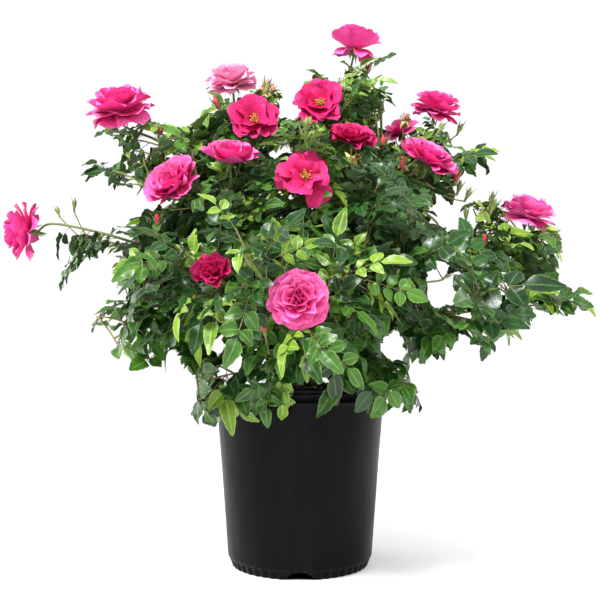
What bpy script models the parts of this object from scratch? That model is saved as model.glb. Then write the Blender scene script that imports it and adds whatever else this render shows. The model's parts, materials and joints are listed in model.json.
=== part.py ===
"""A shrub rose in flower, in the black nursery pot that it was raised in.

Metres, +Z up. The origin is the middle of the pot's flat underside, and the plant's best side faces -Y.

The canes rise from a short stem base on the growing mix, and side canes leave them. Each cane carries on,
0.3 mm clear of its tip, into a foliage mass: one solid made of a stem, the shoots that branch from it, and
the leaves, flowers and buds that those carry. A mass keeps to its own space, which reaches half way from its
stem and shoots to those of its neighbours, and a little further where nothing stands there.
"""

import math
import random

import bmesh
import bpy
from mathutils import Matrix, Vector
from mathutils.bvhtree import BVHTree
from mathutils.kdtree import KDTree

UP = Vector((0.0, 0.0, 1.0))
STEEP = 0.9                       # the rise of a direction that UP is no longer a good side for
GAP = 0.0003                      # between solids that stand against each other
SMOOTH_LIMIT = math.radians(35)   # edges of turned solids that are sharper than this stay sharp

# Pot
POT_SIDES = 48
POT_HEIGHT = 0.257
FLOOR_HEIGHT = 0.014              # of the inside, above the notches
UNDERSIDE_RADIUS = 0.0995
RIB_TOP_RADIUS = 0.1035
RIB_HEIGHT = 0.0125
RIB_DEPTH = 0.0022                # every second corner of the ribbed foot stands in by this
WALL_FOOT_RADIUS = 0.1047
WALL_FOOT_HEIGHT = 0.0145
WALL_TOP_RADIUS = 0.1233
WALL_TOP_HEIGHT = 0.2345
BEAD_RADIUS = 0.1255
BEAD_LOW = 0.2365
BEAD_HIGH = 0.2395
BAND_RADIUS = 0.1236              # the rim's plain band, between the bead and the lip
BAND_LOW = 0.2415
BAND_HIGH = 0.2525
LIP_RADIUS = 0.1250
LIP_LOW = 0.2540
LIP_ROUND = 0.0012
MOUTH_RADIUS = 0.1210
FLOOR_RADIUS = 0.1020
NOTCHES = 4
NOTCH_WIDTH = 0.036
NOTCH_HEIGHT = 0.011
NOTCH_DEPTH = 0.014
NOTCH_SIDES = 12

# Growing mix and stem base
MIX_EDGE_HEIGHT = 0.246
MIX_SHOULDER = (0.075, 0.256)     # radius and height of the mound's shoulder
MIX_TOP = (0.034, 0.262)          # radius and height of its flat top
BASE_SIDES = 10
BASE_RADIUS = 0.026
BASE_TOP_RADIUS = 0.023
BASE_HEIGHT = 0.020
FOOT_RING_RADIUS = 0.0165         # the circle on the stem base that the canes stand on

# Canes and shoots
CANE_RADIUS = 0.0046
SIDE_CANE_RADIUS = 0.0038
CANE_TIP_RADIUS = 0.0031
CANE_SIDES = 5
CANE_STEPS = 4
ARCH_REACH = 0.30                 # how far out a cane leans before it has made ARCH_RISE of its climb
ARCH_RISE = 0.85
SIDE_ARCH_REACH = 0.55
ARCH_SAMPLES = 16                 # that an arch's length is measured with
LEAST_RISE = 0.07
STEM_SHARE = 0.56                 # of a cane's run, the end that is the stem of its mass
LONGEST_STEM = 0.27
STEM_SIDES = 3
STEM_STEPS = 4
STEM_TIP_RADIUS = 0.0026
FLOWER_COLLAR = 0.016             # the straight end of a shoot below a flower
SHOOT_RADII = (0.0016, 0.0024, 0.0021, 0.0019)
SHOOT_SHARES = (0.0, 0.3, 0.65, 1.0)
SHOOT_SIDES = 3
SIDE_SHOOTS = 3
FIRST_SHOOT = 0.6                 # where the first one leaves the stem, in spacings of the side shoots
SHOOT_LENGTHS = (0.85, 1.10)
SHOOT_LEAN = math.radians(52)
SHOOT_LIFT = 0.20
SHOOT_OUTWARD = 0.35
SHOOT_FOOT_FACES = 4              # of a side shoot, the first ones, which meet the stem
SHOOT_TRIES = 6
SHOOT_ROOM = 0.022                # that a side shoot keeps to every other mass's stem and shoots
BUD_EVERY = 3                     # one side shoot in so many ends in a bud
GOLDEN_TURN = math.radians(137.5)
SPACE_STEP = 0.008                # between the places on a shoot that mark out a mass's space
SPACE_EDGE = 0.016                # how far a leaf may reach past the half way

# Leaves. A leaf is a stalk with pairs of leaflets along it and one at its end
LEAFLET_LENGTH = 0.050
LEAFLET_WIDTH = 0.032
END_LEAFLET_LENGTH = 0.058
END_LEAFLET_WIDTH = 0.042
LEAFLET_TURN = math.radians(68)   # between the stalk and a paired leaflet
WIDEST_SHARE = 0.42               # of a leaflet's length, from its foot to its widest place
PAIR_FOOT = 0.0035                # half the length of stalk that a pair grows from
STALK_LENGTH = 0.024
PAIR_SPACING = 0.034
END_SPACING = 0.017
STALK_HALF_WIDTH = 0.0008
STALK_HEIGHT = 0.0014
LEAFLET_FOLD = 0.003
LEAFLET_DROOP = 0.005
LEAF_DROOP = 1.3                  # per metre of leaf, squared
LEAF_SPACING = 0.052              # along a shoot
FIRST_LEAF = 0.020
LAST_LEAF = 0.018                 # clear of a shoot's end
LEAF_TURN = math.radians(144)
LEAF_LEAN = math.radians(58)
LEAF_TRIES = (                    # pairs of leaflets, degrees turned round the shoot, and size
    (2, 0, 1.0), (2, 40, 1.0), (2, -40, 1.0), (1, 0, 1.0), (1, 40, 1.0), (1, -40, 1.0),
    (1, 80, 0.9), (1, -80, 0.9), (1, 0, 0.78), (1, 120, 0.78), (1, -120, 0.78), (1, 180, 0.72),
)
LEAF_ROLL = math.radians(48)      # the most that a leaf is rolled about its stalk
LEAF_SIZES = (0.92, 1.10)
LOWEST_LEAF = 0.205               # where a leaf hangs against the pot
LOW_RADIUS = 0.17                 # from here out, the crown's lower edge rises
LOW_SLOPE = 0.5
ABOVE_TIP = 0.015                 # how far leaves may stand above the tip of their mass's stem
LEAF_OUTWARD = 0.35
LIGHT_OUTWARD = 0.80              # how far leaves turn their upper sides out of the crown
INWARD_LIMIT = -0.30              # a leaf that would point further into the crown is left out
STALK_FACES = 7                   # of a leaf, the first ones, which meet its shoot
CLEARANCE = 0.0004

# Flowers and buds: rings of (radius, height) along the way they face, a flower's for a radius of 1
PETAL_SIDES = 7
NECK_RADIUS = 0.0034
NECK_DROP = 0.52
SINK = 0.004                      # of a shoot's end into its flower or bud
FLOWERS = {
    "double": (((0.60, -0.22), (1.00, 0.06), (0.74, 0.42)), 0.46),
    "open": (((0.62, -0.20), (1.00, 0.12)), -0.06),
}
SCALLOP = 0.10
FLOWER_RADIUS = 0.038
BUD_SIDES = 4
BUD_RINGS = ((0.0028, 0.0), (0.0062, 0.007), (0.0050, 0.015))
BUD_TIP = 0.024

HEART = Vector((0.0, 0.0, 0.34))  # leaves and shoots turn away from this
DOME_MIDDLE = (0.0, 0.0, 0.30)    # of the outline that the crown's leaves fill
DOME_RADII = (0.46, 0.40, 0.46)

# Each foliage mass: its name, the cane it leaves, the step of that cane, the tip of its stem, what ends it,
# the way that faces, and how long its side shoots are. A mass from the foot has a cane of its own.
SPRAYS = (
    ("top", "foot", 0.0, (0.085, 0.020, 0.790), "double", (0.15, -0.35, 1.0), 0.045),
    ("upper_left", "foot", 0.0, (-0.272, -0.020, 0.682), "double", (-0.2, -0.35, 1.0), 0.070),
    ("far_left", "foot", 0.0, (-0.405, -0.020, 0.494), "double", (-1.0, -0.15, -0.15), 0.060),
    ("front", "foot", 0.0, (-0.003, -0.285, 0.366), "double", (0.0, -1.0, 0.25), 0.085),
    ("upper_right", "foot", 0.0, (0.214, 0.010, 0.690), "double", (0.3, -0.35, 1.0), 0.080),
    ("far_right", "foot", 0.0, (0.360, 0.030, 0.380), "leaves", (1.0, 0.0, 0.1), 0.075),
    ("back", "foot", 0.0, (-0.010, 0.330, 0.470), "double", (0.0, 1.0, 0.5), 0.085),
    ("back_right", "foot", 0.0, (0.270, 0.220, 0.450), "open", (1.0, 0.9, 0.6), 0.085),
    ("back_left", "foot", 0.0, (-0.270, 0.230, 0.500), "double", (-1.0, 0.9, 0.7), 0.085),
    ("crown_left", "upper_left", 2.5, (-0.067, -0.050, 0.653), "open", (0.0, -1.0, 0.15), 0.075),
    ("crown_middle", "upper_right", 1.5, (0.029, -0.050, 0.678), "open", (-0.1, -1.0, 0.3), 0.075),
    ("left", "upper_left", 1.5, (-0.177, -0.120, 0.543), "open", (-0.6, -0.8, 0.5), 0.075),
    ("left_low", "far_left", 1.7, (-0.250, -0.080, 0.345), "leaves", (-1.0, -0.2, -0.1), 0.080),
    ("rim_left", "far_left", 0.6, (-0.120, -0.150, 0.270), "leaves", (-0.3, -0.3, -1.0), 0.060),
    ("front_left", "front", 2.5, (-0.108, -0.225, 0.405), "open", (-0.2, -1.0, 0.4), 0.070),
    ("front_high", "top", 1.5, (0.008, -0.175, 0.538), "open", (0.1, -1.0, 0.2), 0.075),
    ("middle_left", "upper_left", 0.6, (-0.075, -0.115, 0.475), "bud", (-0.3, -0.6, 1.0), 0.070),
    ("middle_right", "upper_right", 0.6, (0.075, -0.110, 0.500), "bud", (0.3, -0.6, 1.0), 0.070),
    ("front_right", "front", 1.6, (0.100, -0.200, 0.420), "bud", (0.2, -0.5, 1.0), 0.080),
    ("rim_right", "far_right", 0.6, (0.130, -0.130, 0.275), "leaves", (0.3, -0.3, -1.0), 0.060),
    ("right_front", "upper_right", 2.5, (0.188, -0.080, 0.592), "double", (0.5, -1.0, 0.2), 0.080),
    ("right", "upper_right", 1.5, (0.350, 0.000, 0.520), "double", (0.4, -0.3, 1.0), 0.075),
    ("right_low", "far_right", 1.7, (0.225, -0.130, 0.350), "leaves", (0.7, -0.7, -0.1), 0.080),
    ("back_high", "top", 1.9, (0.030, 0.170, 0.700), "double", (0.0, 0.7, 1.0), 0.080),
    ("back_left_high", "back_left", 2.5, (-0.150, 0.170, 0.640), "open", (-0.3, 0.7, 1.0), 0.080),
    ("back_right_high", "back_right", 2.5, (0.190, 0.180, 0.600), "double", (0.4, 0.6, 1.0), 0.080),
    ("back_left_low", "back_left", 1.4, (-0.190, 0.210, 0.320), "leaves", (-0.6, 0.8, -0.2), 0.080),
    ("back_right_low", "back", 1.4, (0.120, 0.240, 0.315), "leaves", (0.3, 1.0, -0.2), 0.080),
)

# Further flowers: the mass, the flower's middle, its form, the way it faces, and its radius
MORE_FLOWERS = (
    ("crown_left", (-0.112, 0.060, 0.750), "double", (-0.1, -0.2, 1.0), 0.033),
    ("crown_middle", (0.076, -0.085, 0.620), "double", (0.2, -0.5, 0.8), 0.032),
    ("left", (-0.094, -0.125, 0.579), "double", (0.0, -0.4, 1.0), 0.036),
    ("upper_right", (0.160, 0.070, 0.672), "double", (-0.2, -0.2, 1.0), 0.031),
)
MORE_SHOOT_SHARE = 0.30           # of the stem, where the shoot of a further flower leaves it
FLOWER_SHOOT_BEND = 0.4
FLOWER_SHOOT_SHARES = (0.0, 0.3, 0.7)

LEAF_SLOT = 0
PETAL_SLOT = 1
COLOURS = {
    "pot_plastic": ((0.012, 0.012, 0.014), 0.42),
    "growing_mix": ((0.060, 0.036, 0.020), 0.95),
    "cane_bark": ((0.105, 0.115, 0.040), 0.62),
    "leaf": ((0.035, 0.110, 0.022), 0.45),
    "petal": ((0.720, 0.030, 0.180), 0.50),
}


def seeded(*words):
    """A source of random numbers that is always the same for the same words."""
    return random.Random(":".join(str(word) for word in words))


def any_side(axis):
    """A direction square to an axis."""
    other = UP if abs(axis.normalized().z) < STEEP else Vector((1.0, 0.0, 0.0))
    return axis.cross(other).normalized()


def away(point):
    """The way out of the crown at a point."""
    return (point - HEART).normalized()


def arch_point(start, control, tip, share):
    """The point of a cane's arch at a share of its run."""
    return start.lerp(control, share).lerp(control.lerp(tip, share), share)


def along(points, distance):
    """The point at a distance along some points, and the direction there, or None past their end."""
    for first, second in zip(points, points[1:]):
        step = (second - first).length
        if distance <= step:
            return first.lerp(second, distance / step), (second - first).normalized()
        distance -= step
    return None


def run_length(points):
    """The length along some points."""
    return sum((second - first).length for first, second in zip(points, points[1:]))


class Piece:
    """A closed shape of points and faces, with what is needed to find what touches it."""

    def __init__(self, points, faces, slot=LEAF_SLOT):
        self.points = points
        self.faces = faces
        self.slot = slot
        self.low = Vector(min(point[axis] for point in points) for axis in range(3))
        self.high = Vector(max(point[axis] for point in points) for axis in range(3))
        triangles = [(face[0], *pair) for face in faces for pair in zip(face[1:], face[2:])]
        self.tree = BVHTree.FromPolygons(points, triangles, all_triangles=True)

    def touches(self, other):
        apart = any(
            self.low[axis] > other.high[axis] or other.low[axis] > self.high[axis] for axis in range(3)
        )
        return not apart and bool(self.tree.overlap(other.tree))


def swollen(points, faces, amount):
    """The points of a shape, moved outwards by an amount."""
    normals = [Vector() for _ in points]
    for face in faces:
        first, second, third = (points[corner] for corner in face[:3])
        normal = (second - first).cross(third - first).normalized()
        for corner in face:
            normals[corner] += normal
    return [point + normal.normalized() * amount for point, normal in zip(points, normals)]


def tube(points, radii, sides, foot_normal=None):
    """A cane or shoot along some points, with a flat cap at each end. A foot normal tilts the first cap."""
    ring_points = []
    last = len(points) - 1
    side = any_side(points[1] - points[0])
    for index, point in enumerate(points):
        axis = (points[min(index + 1, last)] - points[max(index - 1, 0)]).normalized()
        side = (side - axis * side.dot(axis)).normalized()
        other = axis.cross(side)
        for corner in range(sides):
            angle = math.tau * corner / sides
            offset = (side * math.cos(angle) + other * math.sin(angle)) * radii[index]
            if index == 0 and foot_normal:
                offset -= axis * (offset.dot(foot_normal) / axis.dot(foot_normal))
            ring_points.append(point + offset)
    faces = [tuple(reversed(range(sides)))]
    for index in range(last):
        for corner in range(sides):
            following = (corner + 1) % sides
            low = index * sides
            high = low + sides
            faces.append((low + corner, low + following, high + following, high + corner))
    faces.append(tuple(range(last * sides, (last + 1) * sides)))
    return ring_points, faces


def turned(rings, sides, crown, scallop=0.0):
    """A turned shape: rings of (radius, height) along +Z, a flat foot and a point at the crown's height."""
    points = []
    for order, (radius, height) in enumerate(rings):
        for corner in range(sides):
            angle = math.tau * (corner + 0.5 * (order % 2)) / sides
            wave = 1.0 + scallop * (1 if corner % 2 else -1) * (order > 0)
            points.append(Vector((radius * wave * math.cos(angle), radius * wave * math.sin(angle), height)))
    faces = [tuple(reversed(range(sides)))]
    for order in range(len(rings) - 1):
        low = order * sides
        high = low + sides
        for corner in range(sides):
            following = (corner + 1) % sides
            if order % 2:
                faces.append((low + corner, high + following, high + corner))
                faces.append((low + corner, low + following, high + following))
            else:
                faces.append((low + corner, low + following, high + corner))
                faces.append((low + following, high + following, high + corner))
    points.append(Vector((0.0, 0.0, crown)))
    top = (len(rings) - 1) * sides
    for corner in range(sides):
        faces.append((top + corner, top + (corner + 1) % sides, len(points) - 1))
    return points, faces


def placed(points, place, heading, normal):
    """Points of a shape, set at a place with its X along a heading and its Z along a normal."""
    left = normal.cross(heading)
    turn = Matrix((heading, left, normal)).transposed()
    return [place + turn @ point for point in points]


def facing(points, place, way):
    """Points of a turned shape, set at a place with its Z along a way."""
    return placed(points, place, any_side(way), way)


# Leaves

def leaflet_points(foot, turn, side, length, width):
    """The near corner, tip and far corner of a leaflet that grows from a foot on the stalk."""
    way = Vector((math.cos(turn), side * math.sin(turn), 0.0))
    across = Vector((math.sin(turn), -side * math.cos(turn), 0.0))
    middle = foot + way * (WIDEST_SHARE * length) + UP * LEAFLET_FOLD
    tip = foot + way * length - UP * LEAFLET_DROOP
    return [middle - across * (width / 2), tip, middle + across * (width / 2)]


def leaflet_faces(edge, next_edge, ridge, next_ridge, near):
    """The faces of a leaflet on the stalk's left, between two stations. `near` is its near corner."""
    tip, far = near + 1, near + 2
    return [
        (ridge, near, edge), (ridge, tip, near), (ridge, next_ridge, tip),
        (next_ridge, far, tip), (next_ridge, next_edge, far),
        (edge, near, tip), (edge, tip, next_edge), (next_edge, tip, far),
    ]


def compound_leaf(pairs, size):
    """A leaf along +X with its upper side to +Z: a stalk with pairs of leaflets and one at its end."""
    stations = [0.0]
    for pair in range(pairs):
        middle = STALK_LENGTH + pair * PAIR_SPACING
        stations += [middle - PAIR_FOOT, middle + PAIR_FOOT]
    stations.append(STALK_LENGTH + (pairs - 1) * PAIR_SPACING + END_SPACING)
    points = []
    for station in stations:
        points += [
            Vector((station, STALK_HALF_WIDTH, 0.0)),
            Vector((station, -STALK_HALF_WIDTH, 0.0)),
            Vector((station, 0.0, STALK_HEIGHT)),
        ]
    faces = [(2, 0, 1)]
    for step in range(len(stations) - 1):
        left, right, ridge, next_left, next_right, next_ridge = range(step * 3, step * 3 + 6)
        faces += [(left, next_left, next_right), (left, next_right, right)]
        if step % 2 == 0:
            faces += [(left, ridge, next_ridge), (left, next_ridge, next_left)]
            faces += [(ridge, right, next_right), (ridge, next_right, next_ridge)]
            continue
        for edge, next_edge, side in ((left, next_left, 1), (right, next_right, -1)):
            foot = (points[edge] + points[next_edge]) / 2
            blade = leaflet_faces(edge, next_edge, ridge, next_ridge, len(points))
            points += leaflet_points(foot, LEAFLET_TURN, side, LEAFLET_LENGTH, LEAFLET_WIDTH)
            faces += blade if side == 1 else [face[::-1] for face in blade]
    left, right, ridge = range(len(stations) * 3 - 3, len(stations) * 3)
    near, tip, far = range(len(points), len(points) + 3)
    foot = (points[left] + points[right]) / 2
    points += leaflet_points(foot, 0.0, 1, END_LEAFLET_LENGTH, END_LEAFLET_WIDTH)
    faces += [(ridge, right, far), (ridge, far, tip), (ridge, tip, near), (ridge, near, left)]
    faces += [(left, near, tip), (left, tip, right), (right, tip, far)]
    return [sized(point, size) for point in points], faces


def sized(point, size):
    """A point of a leaf at the leaf's own size, where the leaf has bent down under its weight."""
    droop = LEAF_DROOP * (point.x * size) ** 2
    return Vector((point.x * size, point.y * size, point.z * size - droop))


# Growth

class Shoot:
    """A stem or a side shoot: the points that it runs along, and its shape."""

    def __init__(self, points, radii, sides, foot_normal=None):
        self.points = points
        self.length = run_length(points)
        self.end_way = (points[-1] - points[-2]).normalized()
        self.piece = Piece(*tube(points, radii, sides, foot_normal))
        self.bare_end = True      # until it carries a flower or a bud


class Spray:
    """One foliage mass and the cane that it carries on from."""

    def __init__(self, row, parent, foot_bearing):
        self.name, _, joint, tip, self.end, way, self.shoot_length = row
        self.way = Vector(way).normalized()
        self.tip = Vector(tip)
        self.pieces = []
        self.shoots = []
        if self.end in FLOWERS:
            self.tip -= self.way * (NECK_DROP * FLOWER_RADIUS + FLOWER_COLLAR)
        if parent is None:
            self.grow_root_cane(foot_bearing)
        else:
            self.grow_side_cane(parent, joint)
        self.grow_stem()

    def grow_root_cane(self, bearing):
        """The cane of a mass that rises from the stem base."""
        outward = Vector((math.cos(bearing), math.sin(bearing), 0.0))
        height = MIX_TOP[1] + GAP + BASE_HEIGHT + GAP
        self.run(outward * FOOT_RING_RADIUS + UP * height, ARCH_REACH)
        self.shape_cane(CANE_RADIUS, UP)

    def grow_side_cane(self, parent, joint):
        """The cane of a mass that leaves another cane. Its foot stands clear of that one."""
        step = int(joint)
        low, high = parent.cane_points[step : step + 2]
        axis = (high - low).normalized()
        start = low.lerp(high, joint - step)
        self.run(start, SIDE_ARCH_REACH)
        way = (self.cane_points[1] - start).normalized()
        normal = (way - axis * way.dot(axis)).normalized()
        self.cane_points[0] = start + way * ((parent.cane_radius + 2 * GAP) / way.dot(normal))
        self.shape_cane(SIDE_CANE_RADIUS, normal)

    def shape_cane(self, radius, foot_normal):
        self.cane_radius = radius
        radii = [radius + (CANE_TIP_RADIUS - radius) * step / CANE_STEPS for step in range(CANE_STEPS + 1)]
        self.cane = Piece(*tube(self.cane_points, radii, CANE_SIDES, foot_normal))

    def run(self, start, reach):
        """Lays the cane and the stem along one arch from a start to the tip."""
        across = self.tip - start
        rise = max(across.z * ARCH_RISE, LEAST_RISE)
        control = start + Vector((across.x * reach, across.y * reach, rise))
        samples = [step / ARCH_SAMPLES for step in range(ARCH_SAMPLES + 1)]
        length = run_length([arch_point(start, control, self.tip, share) for share in samples])
        split = 1.0 - min(STEM_SHARE, LONGEST_STEM / length)
        cane_shares = [split * step / CANE_STEPS for step in range(CANE_STEPS + 1)]
        stem_shares = [split + (1.0 - split) * step / STEM_STEPS for step in range(STEM_STEPS + 1)]
        self.cane_points = [arch_point(start, control, self.tip, share) for share in cane_shares]
        self.stem_points = [arch_point(start, control, self.tip, share) for share in stem_shares]

    def grow_stem(self):
        """The stem, which carries on from the tip of the cane, and what ends it."""
        points = self.stem_points
        way = (points[1] - points[0]).normalized()
        foot_normal = (self.cane_points[-1] - self.cane_points[-2]).normalized()
        points[0] = points[0] + way * (GAP / way.dot(foot_normal))
        if self.end in FLOWERS:
            points.append(self.tip + self.way * (FLOWER_COLLAR + SINK))
        last = len(points) - 1
        taper = (STEM_TIP_RADIUS - CANE_TIP_RADIUS) / last
        radii = [CANE_TIP_RADIUS + taper * step for step in range(last + 1)]
        stem = self.add_shoot(Shoot(points, radii, STEM_SIDES, foot_normal))
        if self.end in FLOWERS:
            self.add_flower(stem, self.end, self.tip + self.way * FLOWER_COLLAR, self.way, FLOWER_RADIUS)
        if self.end == "bud":
            self.add_bud(stem)

    def add_shoot(self, shoot):
        self.shoots.append(shoot)
        self.pieces.append(shoot.piece)
        return shoot

    def add_flower(self, shoot, form, neck, way, radius):
        """A flower that holds the end of a shoot."""
        rings, crown = FLOWERS[form]
        rings = [(NECK_RADIUS, -NECK_DROP * radius)] + [(wide * radius, high * radius) for wide, high in rings]
        points, faces = turned(rings, PETAL_SIDES, crown * radius, SCALLOP)
        middle = neck + way * (NECK_DROP * radius)
        self.pieces.append(Piece(facing(points, middle, way), faces, PETAL_SLOT))
        shoot.bare_end = False

    def add_bud(self, shoot):
        """A bud that holds the end of a shoot."""
        points, faces = turned(BUD_RINGS, BUD_SIDES, BUD_TIP)
        foot = shoot.points[-1] - shoot.end_way * SINK
        self.pieces.append(Piece(facing(points, foot, shoot.end_way), faces, PETAL_SLOT))
        shoot.bare_end = False

    def grow_flower_shoot(self, middle, form, way, radius):
        """A shoot from the stem to a further flower."""
        way = Vector(way).normalized()
        neck = Vector(middle) - way * (NECK_DROP * radius)
        stem = self.shoots[0]
        start, _ = along(stem.points, MORE_SHOOT_SHARE * stem.length)
        control = neck - way * (FLOWER_SHOOT_BEND * (neck - start).length)
        points = [arch_point(start, control, neck, share) for share in FLOWER_SHOOT_SHARES]
        shoot = self.add_shoot(Shoot(points + [neck + way * SINK], SHOOT_RADII, SHOOT_SIDES))
        self.add_flower(shoot, form, neck, way, radius)

    def grow_side_shoot(self, order, solids, others):
        """A side shoot from the stem, turned until it has room, or left out where it finds none."""
        stem = self.shoots[0]
        share = (order + FIRST_SHOOT) / (SIDE_SHOOTS + FIRST_SHOOT)
        start, axis = along(stem.points, share * run_length(self.stem_points))
        chance = seeded(self.name, "shoot", order)
        spin = chance.uniform(0.0, math.tau)
        length = self.shoot_length * chance.uniform(*SHOOT_LENGTHS)
        for attempt in range(SHOOT_TRIES):
            side = Matrix.Rotation(spin + attempt * GOLDEN_TURN, 3, axis) @ any_side(axis)
            way = axis * math.cos(SHOOT_LEAN) + side * math.sin(SHOOT_LEAN) + away(start) * SHOOT_OUTWARD
            way.normalize()
            points = [
                start + (way * share + UP * (SHOOT_LIFT * share * share)) * length for share in SHOOT_SHARES
            ]
            shoot = Shoot(points, SHOOT_RADII, SHOOT_SIDES)
            roomy = all((point - other).length > SHOOT_ROOM for point in points[1:] for other in others)
            if roomy and not blocked(shoot.piece, SHOOT_FOOT_FACES, stem.piece, solids + self.pieces):
                self.add_shoot(shoot)
                if order % BUD_EVERY == BUD_EVERY - 1:
                    self.add_bud(shoot)
                return

    def grow_leaves(self, solids, crown):
        """Leaves along every shoot, and one at the end of each that carries nothing there."""
        self.space = places_along(self.shoots)
        for order, shoot in enumerate(self.shoots):
            chance = seeded(self.name, "leaves", order)
            spin = chance.uniform(0.0, math.tau)
            distance = FIRST_LEAF
            while distance < shoot.length - LAST_LEAF:
                place, axis = along(shoot.points, distance)
                self.grow_leaf(shoot, place, axis, spin, LEAF_LEAN, chance, solids, crown)
                spin += LEAF_TURN
                distance += LEAF_SPACING
            if shoot.bare_end:
                place = shoot.points[-1] - shoot.end_way * SINK
                self.grow_leaf(shoot, place, shoot.end_way, spin, 0.0, chance, solids, crown)

    def owns(self, points, crown):
        """Whether some points are in the mass's own space."""
        return all(self.space.find(point)[2] < crown.find(point)[2] + SPACE_EDGE for point in points)

    def under_top(self, leaf):
        """Whether a leaf stays inside the crown's dome, or below the tip of its own mass's stem."""
        if leaf.high.z < self.tip.z + ABOVE_TIP:
            return True
        return all(
            sum(((point[axis] - DOME_MIDDLE[axis]) / DOME_RADII[axis]) ** 2 for axis in range(3)) < 1.0
            for point in leaf.points
        )

    def grow_leaf(self, shoot, place, axis, spin, lean, chance, solids, crown):
        """A leaf on a shoot, turned or made smaller until it has room, or left out where it finds none."""
        size = chance.uniform(*LEAF_SIZES)
        roll = chance.uniform(-LEAF_ROLL, LEAF_ROLL)
        for pairs, turn, scale in LEAF_TRIES:
            side = Matrix.Rotation(spin + math.radians(turn), 3, axis) @ any_side(axis)
            heading = axis * math.cos(lean) + side * math.sin(lean) + away(place) * LEAF_OUTWARD
            heading.normalize()
            if heading.dot(away(place)) < INWARD_LIMIT:
                continue
            light = UP + away(place) * LIGHT_OUTWARD
            normal = (light - heading * light.dot(heading)).normalized()
            normal.rotate(Matrix.Rotation(roll, 3, heading))
            points, faces = compound_leaf(pairs, size * scale)
            points = placed(points, place - normal * (STALK_HEIGHT / 2), heading, normal)
            leaf = Piece(points, faces)
            if hangs_low(points) or not self.under_top(leaf):
                continue
            if self.owns(points, crown) and not blocked(leaf, STALK_FACES, shoot.piece, solids + self.pieces):
                self.pieces.append(leaf)
                return


def hangs_low(points):
    """Whether some points are below the crown's lower edge, which rises away from the pot."""
    return any(
        point.z < LOWEST_LEAF + LOW_SLOPE * max(math.hypot(point.x, point.y) - LOW_RADIUS, 0.0)
        for point in points
    )


def blocked(shape, foot_faces, carrier, others):
    """Whether a shape comes too near to others. Its first faces may meet the shoot that carries it."""
    points = swollen(shape.points, shape.faces, CLEARANCE)
    if Piece(points, shape.faces[foot_faces:]).touches(carrier):
        return True
    whole = Piece(points, shape.faces)
    return any(whole.touches(other) for other in others if other is not carrier)


def grow_sprays(solids):
    """Every foliage mass with its cane, kept clear of each other and of some solids."""
    root_rows = [row for row in SPRAYS if row[1] == "foot"]
    root_rows.sort(key=lambda row: math.atan2(row[3][1], row[3][0]))
    first_bearing = math.atan2(root_rows[0][3][1], root_rows[0][3][0])
    sprays = {}
    for row in SPRAYS:
        bearing = 0.0
        if row in root_rows:
            bearing = first_bearing + math.tau * root_rows.index(row) / len(root_rows)
        sprays[row[0]] = Spray(row, sprays.get(row[1]), bearing)
    for name, *flower in MORE_FLOWERS:
        sprays[name].grow_flower_shoot(*flower)
    sprays = list(sprays.values())
    solids = solids + [spray.cane for spray in sprays]
    for order in range(SIDE_SHOOTS):
        for spray in sprays:
            rest = [other for other in sprays if other is not spray]
            taken = [point for other in rest for shoot in other.shoots for point in shoot.points]
            pieces = [piece for other in rest for piece in other.pieces]
            spray.grow_side_shoot(order, solids + pieces, taken)
    crown = places_along([shoot for spray in sprays for shoot in spray.shoots])
    for spray in sprays:
        pieces = [piece for other in sprays if other is not spray for piece in other.pieces]
        spray.grow_leaves(solids + pieces, crown)
    return sprays


def places_along(shoots):
    """A tree that finds how far a point is from some stems and shoots."""
    places = []
    for shoot in shoots:
        count = int(shoot.length / SPACE_STEP) + 1
        places += [along(shoot.points, step * SPACE_STEP)[0] for step in range(count)]
    tree = KDTree(len(places))
    for index, place in enumerate(places):
        tree.insert(place, index)
    tree.balance()
    return tree


# Objects

def material(name):
    """A plain material in one of the plant's or the pot's colours."""
    colour, roughness = COLOURS[name]
    made = bpy.data.materials.new(name)
    made.use_nodes = True
    shader = made.node_tree.nodes["Principled BSDF"]
    shader.inputs["Base Color"].default_value = (*colour, 1.0)
    shader.inputs["Roughness"].default_value = roughness
    return made


def make_object(name, mesh, materials):
    """An object of a mesh, in the scene."""
    for item in materials:
        mesh.materials.append(item)
    made = bpy.data.objects.new(name, mesh)
    bpy.context.scene.collection.objects.link(made)
    return made


def piece_object(name, piece, materials):
    """An object of one piece, in triangles."""
    mesh = bpy.data.meshes.new(name)
    mesh.from_pydata(piece.points, [], piece.faces)
    made = make_object(name, mesh, materials)
    for polygon in mesh.polygons:
        polygon.material_index = piece.slot
    return made


def spun(name, profile, sides, materials):
    """An object turned about Z from a profile of (radius, height) that starts and ends on the axis."""
    shape = bmesh.new()
    corners = [shape.verts.new((radius, 0.0, height)) for radius, height in profile]
    edges = [shape.edges.new(pair) for pair in zip(corners, corners[1:])]
    bmesh.ops.spin(
        shape, geom=corners + edges, cent=(0, 0, 0), axis=(0, 0, 1), angle=math.tau, steps=sides
    )
    bmesh.ops.remove_doubles(shape, verts=shape.verts, dist=1e-6)
    bmesh.ops.recalc_face_normals(shape, faces=shape.faces)
    mesh = bpy.data.meshes.new(name)
    shape.to_mesh(mesh)
    shape.free()
    mesh.shade_smooth()
    mesh.set_sharp_from_angle(angle=SMOOTH_LIMIT)
    return make_object(name, mesh, materials)


def wall_radius(height):
    """The pot's inside radius at a height."""
    share = (height - FLOOR_HEIGHT) / (POT_HEIGHT - FLOOR_HEIGHT)
    return FLOOR_RADIUS + (MOUTH_RADIUS - FLOOR_RADIUS) * share


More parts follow.
